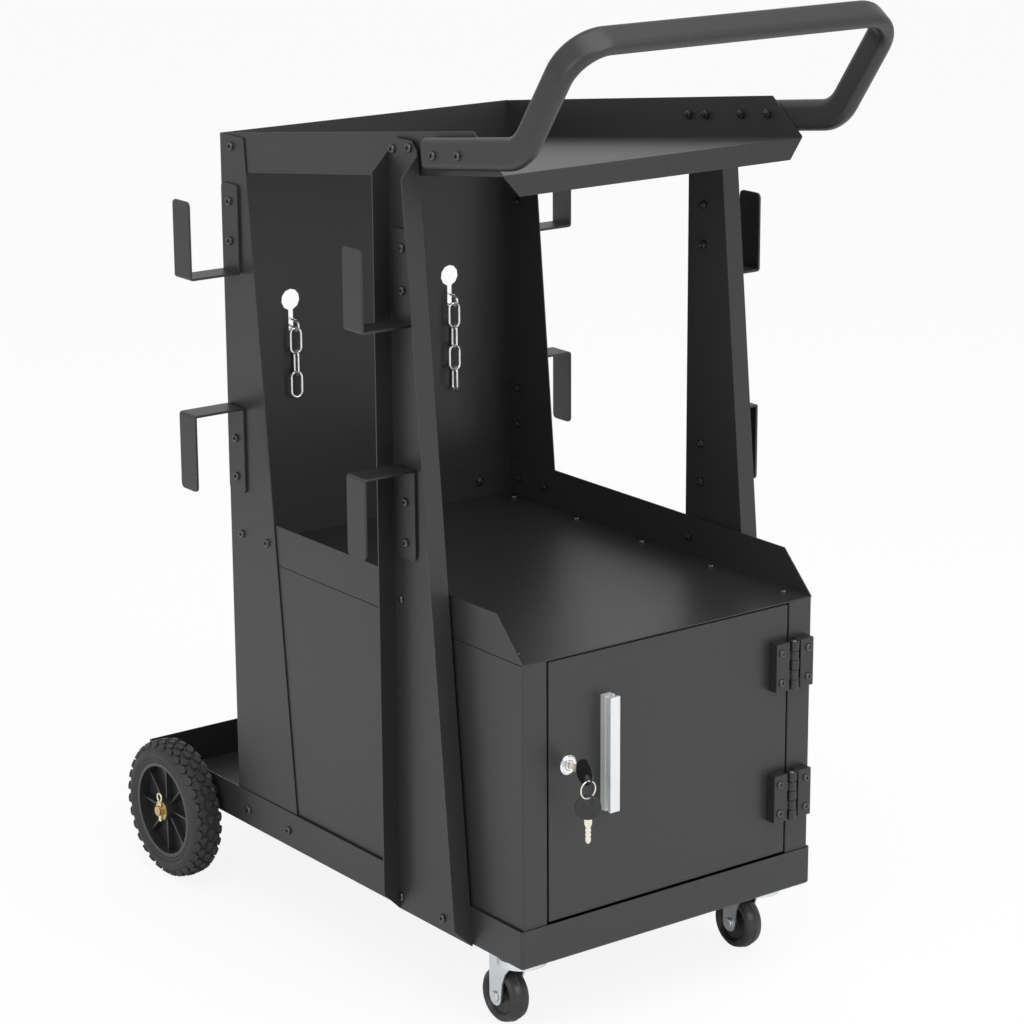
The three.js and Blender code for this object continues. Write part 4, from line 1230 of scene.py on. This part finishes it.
@dataclass
class RearWheels:
    """The rear axle, hubs and treaded tyres."""

    radius: float = 90.0
    tread: float = 3.2
    half_width: float = 21.0
    rim: float = 63.0
    steps: int = 72
    blocks: int = 30
    block_radius: float = 7.4
    block_root: float = 2.2
    block_scale: tuple[float, float, float] = (0.74, 0.98, 1)
    block_taper: tuple[float, float, float] = (0.84, 0.84, 1)
    axle_edge: float = 1.0
    hub_edge: float = 0.7
    washer_edge: float = 0.4
    # The tyre's side: drop below the carcass or rise above the rim, with a share of the half width
    crown: tuple[tuple[float, float], ...] = (
        (0.0, 0.0), (0.4, 0.35), (1.8, 0.62), (5.5, 0.84), (11.0, 0.97), (14.0, 1.0),
    )
    bead: tuple[tuple[float, float], ...] = ((8.0, 0.98), (5.5, 0.9), (4.0, 0.94), (1.5, 0.9), (0.0, 0.84))
    rows: tuple[TreadRow, ...] = (
        TreadRow(0.0, 0.0, 0.0, 0.0),
        TreadRow(-0.46, 0.5, 1.1, 0.35),
        TreadRow(0.46, 0.5, 1.1, 0.35),
        TreadRow(-0.8, 0.0, 4.4, 0.85),
        TreadRow(0.8, 0.0, 4.4, 0.85),
    )
    # The cotter pin's wire, eye and gap, with its heights above the ground
    pin_wire: float = 1.3
    pin_sides: int = 10
    pin_eye: float = 5.0
    pin_half_gap: float = 1.45
    pin_top: float = 108.0
    pin_neck: float = 98.0
    pin_foot: float = 76.0
    eye_start: float = -60.0
    eye_sweep: float = 300.0
    eye_steps: int = 21

    def build(self) -> None:
        """Make the axle, and each wheel's tyre, hub, washer and cotter pin."""
        solid_piece("rear_axle", self.axle_edge, YELLOW)
        for side in SIDES:
            self.build_tyre(side)
            solid_piece(f"rear_{side}_hub", self.hub_edge, HUB)
            solid_piece(f"rear_{side}_washer", self.washer_edge, YELLOW)
            self.build_cotter(side)

    def build_tyre(self, side: str) -> None:
        """Spin the tyre's carcass and set tread blocks round it.

        Args:
            side: "left" or "right".
        """
        centre = Matrix.Translation(middle_of(f"rear_{side}_tyre"))
        base, half = self.radius - self.tread, self.half_width
        right = [(base - drop, half * share) for drop, share in self.crown]
        right += [(self.rim + rise, half * share) for rise, share in self.bead]
        profile = [(r, -a) for r, a in reversed(right[1:])] + right
        tyre = spun(profile, RIGHTWARD, centre.translation, self.steps)
        places = []
        for row in self.rows:
            lift = Matrix.Translation((row.share * half * MM, 0, (self.radius - row.sink) * MM))
            lean = Matrix.Rotation(row.share * row.lean, 4, "Y")
            for k in range(self.blocks):
                spin = Matrix.Rotation(math.tau * (k + row.phase) / self.blocks, 4, "X")
                places.append(centre @ spin @ lift @ lean)
        tyre = joined([tyre, copies(self.block(), places)])
        smooth(tyre, TURNED_PIECE)
        deliver(tyre, f"rear_{side}_treaded_tyre", f"rear_{side}_wheel", TYRE, [f"rear_{side}_tyre"])

    def block(self) -> bpy.types.Object:
        """Model one tapered six-sided tread block whose top lies at the origin.

        Returns:
            The block, open below.
        """
        deselect()
        depth = (self.tread + self.block_root) * MM
        bpy.ops.mesh.primitive_cylinder_add(
            vertices=HEXAGON, radius=self.block_radius * MM, depth=depth, location=(0, 0, -depth / 2)
        )
        obj = bpy.context.object
        obj.scale = self.block_scale
        settle(obj)
        edit(obj)
        select(obj, "faces", looks_up)
        bpy.ops.transform.resize(value=self.block_taper, center_override=(0, 0, 0))
        select(obj, "faces", looks_down)
        bpy.ops.mesh.delete(type="FACE")
        deselect()
        return obj

    def build_cotter(self, side: str) -> None:
        """Bend one cotter pin from round wire.

        Args:
            side: "left" or "right".
        """
        node = f"rear_{side}_cotter_pin"
        middle = middle_of(node)
        front, back = middle.y - self.pin_half_gap * MM, middle.y + self.pin_half_gap * MM
        stations = [(Vector((middle.x, back, z * MM)), UPWARD) for z in (self.pin_foot, self.pin_neck)]
        for k in range(self.eye_steps + 1):
            angle = math.radians(self.eye_start + self.eye_sweep * k / self.eye_steps)
            y = middle.y + self.pin_eye * math.cos(angle) * MM
            z = (self.pin_top + self.pin_eye * math.sin(angle)) * MM
            stations.append((Vector((middle.x, y, z)), Vector((0, -math.sin(angle), math.cos(angle)))))
        stations += [(Vector((middle.x, front, z * MM)), -UPWARD) for z in (self.pin_neck, self.pin_foot)]
        pin = swept(round_section(self.pin_wire, self.pin_sides), stations)
        smooth(pin, WIRE)
        deliver(pin, f"rear_{side}_cotter_wire", "cart", COTTER, [node])


@dataclass
class Chain:
    """The safety chain's long links."""

    wire: float = 3.4
    length: float = 35.0
    width: float = 17.0
    twist: float = -12.0
    end_steps: int = 10
    loop_links: int = 19
    loop_twist: float = 45.0
    loop_half_span: float = 120.0
    loop_seat: float = 722.0
    play: float = 0.5
    overlap: float = 0.6
    # The search for the catenary: its bounds in millimetres, its rounds, and the steepest shape tried
    sag_bounds: tuple[float, float] = (1.0, 1000.0)
    sag_rounds: int = 80
    steepest: float = 300.0

    @property
    def arc(self) -> float:
        """Radius of the link's round ends along the wire's middle."""
        return (self.width - self.wire) / 2

    @property
    def straight(self) -> float:
        """Half the link's straight length."""
        return (self.length - self.width) / 2

    @property
    def pitch(self) -> float:
        """Distance from link to link in the loop."""
        return 2 * (self.straight + self.arc) - self.wire + self.overlap

    def link(self) -> bpy.types.Object:
        """Bend one upright link about the origin.

        Returns:
            The link.
        """
        stations = []
        for end in (1, -1):
            for k in range(self.end_steps + 1):
                angle = math.pi * k / self.end_steps + (0 if end > 0 else math.pi)
                rise = self.arc * math.sin(angle) + end * self.straight
                point = Vector((self.arc * math.cos(angle), 0, rise)) * MM
                stations.append((point, Vector((-math.sin(angle), 0, math.cos(angle)))))
        obj = swept(round_section(self.wire / 2, WIRE_SIDES), stations, closed=True)
        smooth(obj, WIRE)
        return obj

    def build(self) -> None:
        """Put a link at each of the chain's nodes and hang the rear loop."""
        seated = Matrix.Rotation(math.pi / 2, 4, "X") @ Matrix.Rotation(math.pi / 2, 4, "Z")
        for side, count in zip(SIDES, (3, 4)):
            self.place(f"chain_{side}_slot_link", seated)
            for k in range(count):
                turn = math.radians(self.twist + 90 * (k % 2))
                self.place(f"chain_{side}_link_{k + 1}", Matrix.Rotation(turn, 4, "Z"))
        self.build_loop()

    def place(self, node: str, turn: Matrix) -> None:
        """Put one turned link in a node's place.

        Args:
            node: The CAD node.
            turn: The link's turn from upright.
        """
        obj = self.link()
        obj.data.transform(Matrix.Translation(middle_of(node)) @ turn)
        deliver(obj, node + "_wire", body_of(node), CHAIN, [node])

    def catenary(self) -> float:
        """Find the catenary that is as long as the loop, by halving.

        Returns:
            Its parameter in millimetres.
        """
        low, high = self.sag_bounds
        length = self.loop_links * self.pitch
        for _ in range(self.sag_rounds):
            sag = (low + high) / 2
            slope = self.loop_half_span / sag
            if slope > self.steepest or 2 * sag * math.sinh(slope) > length:
                low = sag
            else:
                high = sag
        return sag

    def build_loop(self) -> None:
        """Hang the links of the loop along a catenary between the seated links."""
        sag = self.catenary()
        y = middle_of("chain_rear_loop").y
        top = self.loop_seat + self.wire + self.play - self.overlap
        bottom = top - sag * (math.cosh(self.loop_half_span / sag) - 1)
        places = []
        for k in range(self.loop_links):
            along = (k - (self.loop_links - 1) / 2) * self.pitch
            x = sag * math.asinh(along / sag)
            z = bottom + sag * (math.cosh(x / sag) - 1)
            lean = Matrix.Rotation(math.pi / 2 - math.atan(along / sag), 4, "Y")
            twist = math.radians(self.loop_twist if k % 2 == 0 else -self.loop_twist)
            spot = Matrix.Translation((x * MM, y, z * MM))
            places.append(spot @ lean @ Matrix.Rotation(twist, 4, "Z"))
        links = copies(self.link(), places)
        deliver(links, "chain_loop_links", "chain_loop", CHAIN, ["chain_rear_loop"])


# Studio

WHITE = (1, 1, 1, 1)


@dataclass(frozen=True)
class SoftBox:
    """One square lamp that faces the cart: its place and size in metres and its power in watts."""

    name: str
    spot: tuple[float, float, float]
    size: float
    power: float

    def hang(self, aim: Vector) -> None:
        """Hang the lamp and turn it to a point.

        Args:
            aim: The point in metres.
        """
        lamp = bpy.data.lights.new(self.name, "AREA")
        lamp.shape = "SQUARE"
        lamp.size = self.size
        lamp.energy = self.power
        obj = bpy.data.objects.new(self.name, lamp)
        obj.location = self.spot
        obj.rotation_euler = (aim - Vector(self.spot)).to_track_quat("-Z", "Y").to_euler()
        bpy.context.collection.objects.link(obj)


def mix_shaders(
    tree: bpy.types.NodeTree,
    share: bpy.types.NodeSocket,
    first: bpy.types.Node,
    second: bpy.types.Node,
    end: str,
) -> None:
    """Mix two shaders and link the mix to a tree's output.

    Args:
        tree: The node tree.
        share: The socket that gives the second shader's share.
        first: The first shader.
        second: The second shader.
        end: Name of the output node.
    """
    mix = tree.nodes.new("ShaderNodeMixShader")
    tree.links.new(share, mix.inputs["Fac"])
    tree.links.new(first.outputs[0], mix.inputs[1])
    tree.links.new(second.outputs[0], mix.inputs[2])
    tree.links.new(mix.outputs[0], tree.nodes[end].inputs["Surface"])


@dataclass
class Studio:
    """Floor, light and camera, in metres."""

    camera_at: tuple[float, float, float] = (-2.2473, -3.0675, 1.5917)
    azimuth: float = 37.8
    elevation: float = 15.7
    lens: float = 114.6
    sensor: float = 36.0
    shift_x: float = -0.063
    far_clip: float = 100.0
    floor_size: float = 30.0
    floor_tone: tuple[float, float, float, float] = (0.9, 0.9, 0.9, 1)
    floor_roughness: float = 0.9
    floor_glow: float = 0.88
    ambient: float = 0.7
    aim_height: float = 0.6
    lamps: tuple[SoftBox, ...] = (
        SoftBox("top_box", (-0.2, -1.4, 3.6), 3.2, 62.0),
        SoftBox("left_box", (-4.0, -1.0, 2.2), 2.6, 41.0),
        SoftBox("front_box", (0.5, -4.4, 2.55), 2.4, 60.0),
    )

    def build(self) -> None:
        """Set the stage, with a soft box overhead and one at each side of the camera."""
        self.build_floor()
        self.build_world()
        for lamp in self.lamps:
            lamp.hang(UPWARD * self.aim_height)
        self.build_camera()
        bpy.context.scene.view_settings.view_transform = "Standard"

    def build_floor(self) -> None:
        """Lay a pale floor that shows nearly white to the camera and still takes shadows."""
        deselect()
        bpy.ops.mesh.primitive_plane_add(size=self.floor_size, location=(0, 0, 0))
        floor = bpy.context.object
        floor.name = "studio_floor"
        material = bpy.data.materials.new("pale_floor")
        material.use_nodes = True
        nodes = material.node_tree.nodes
        shader = nodes["Principled BSDF"]
        shader.inputs["Base Color"].default_value = self.floor_tone
        shader.inputs["Roughness"].default_value = self.floor_roughness
        glow = nodes.new("ShaderNodeEmission")
        glow.inputs["Color"].default_value = WHITE
        path = nodes.new("ShaderNodeLightPath")
        share = math_node(material.node_tree, "MULTIPLY", path.outputs["Is Camera Ray"], self.floor_glow)
        mix_shaders(material.node_tree, share, shader, glow, "Material Output")
        floor.data.materials.append(material)

    def build_world(self) -> None:
        """Light from all round, with a white backdrop in sight."""
        world = bpy.data.worlds.new("studio")
        bpy.context.scene.world = world
        world.use_nodes = True
        nodes = world.node_tree.nodes
        soft = nodes["Background"]
        soft.inputs["Color"].default_value = WHITE
        soft.inputs["Strength"].default_value = self.ambient
        white = nodes.new("ShaderNodeBackground")
        white.inputs["Color"].default_value = WHITE
        white.inputs["Strength"].default_value = 1.0
        rays = nodes.new("ShaderNodeLightPath").outputs
        seen = math_node(world.node_tree, "MAXIMUM", rays["Is Camera Ray"], rays["Is Transmission Ray"])
        mix_shaders(world.node_tree, seen, soft, white, "World Output")

    def build_camera(self) -> None:
        """Stand the camera where the photograph was taken from."""
        data = bpy.data.cameras.new("camera")
        data.sensor_width = self.sensor
        data.lens = self.lens
        data.shift_x = self.shift_x
        data.clip_end = self.far_clip
        camera = bpy.data.objects.new("camera", data)
        azimuth, elevation = math.radians(self.azimuth), math.radians(self.elevation)
        level = math.cos(elevation)
        look = Vector((math.sin(azimuth) * level, math.cos(azimuth) * level, -math.sin(elevation)))
        camera.location = self.camera_at
        camera.rotation_euler = look.to_track_quat("-Z", "Y").to_euler()
        bpy.context.collection.objects.link(camera)
        bpy.context.scene.camera = camera


def main() -> None:
    """Build the cart's looks piece by piece."""
    logging.basicConfig(level=logging.INFO, format="%(name)s: %(message)s")
    for assembly in (
        Studio(), SheetMetal(), PushHandle(), ScrewHeads(), LockAndKeys(), Casters(), RearWheels(), Chain(),
    ):
        assembly.build()
        LOG.info("%s is done", type(assembly).__name__)


if __name__ == "__main__":
    main()
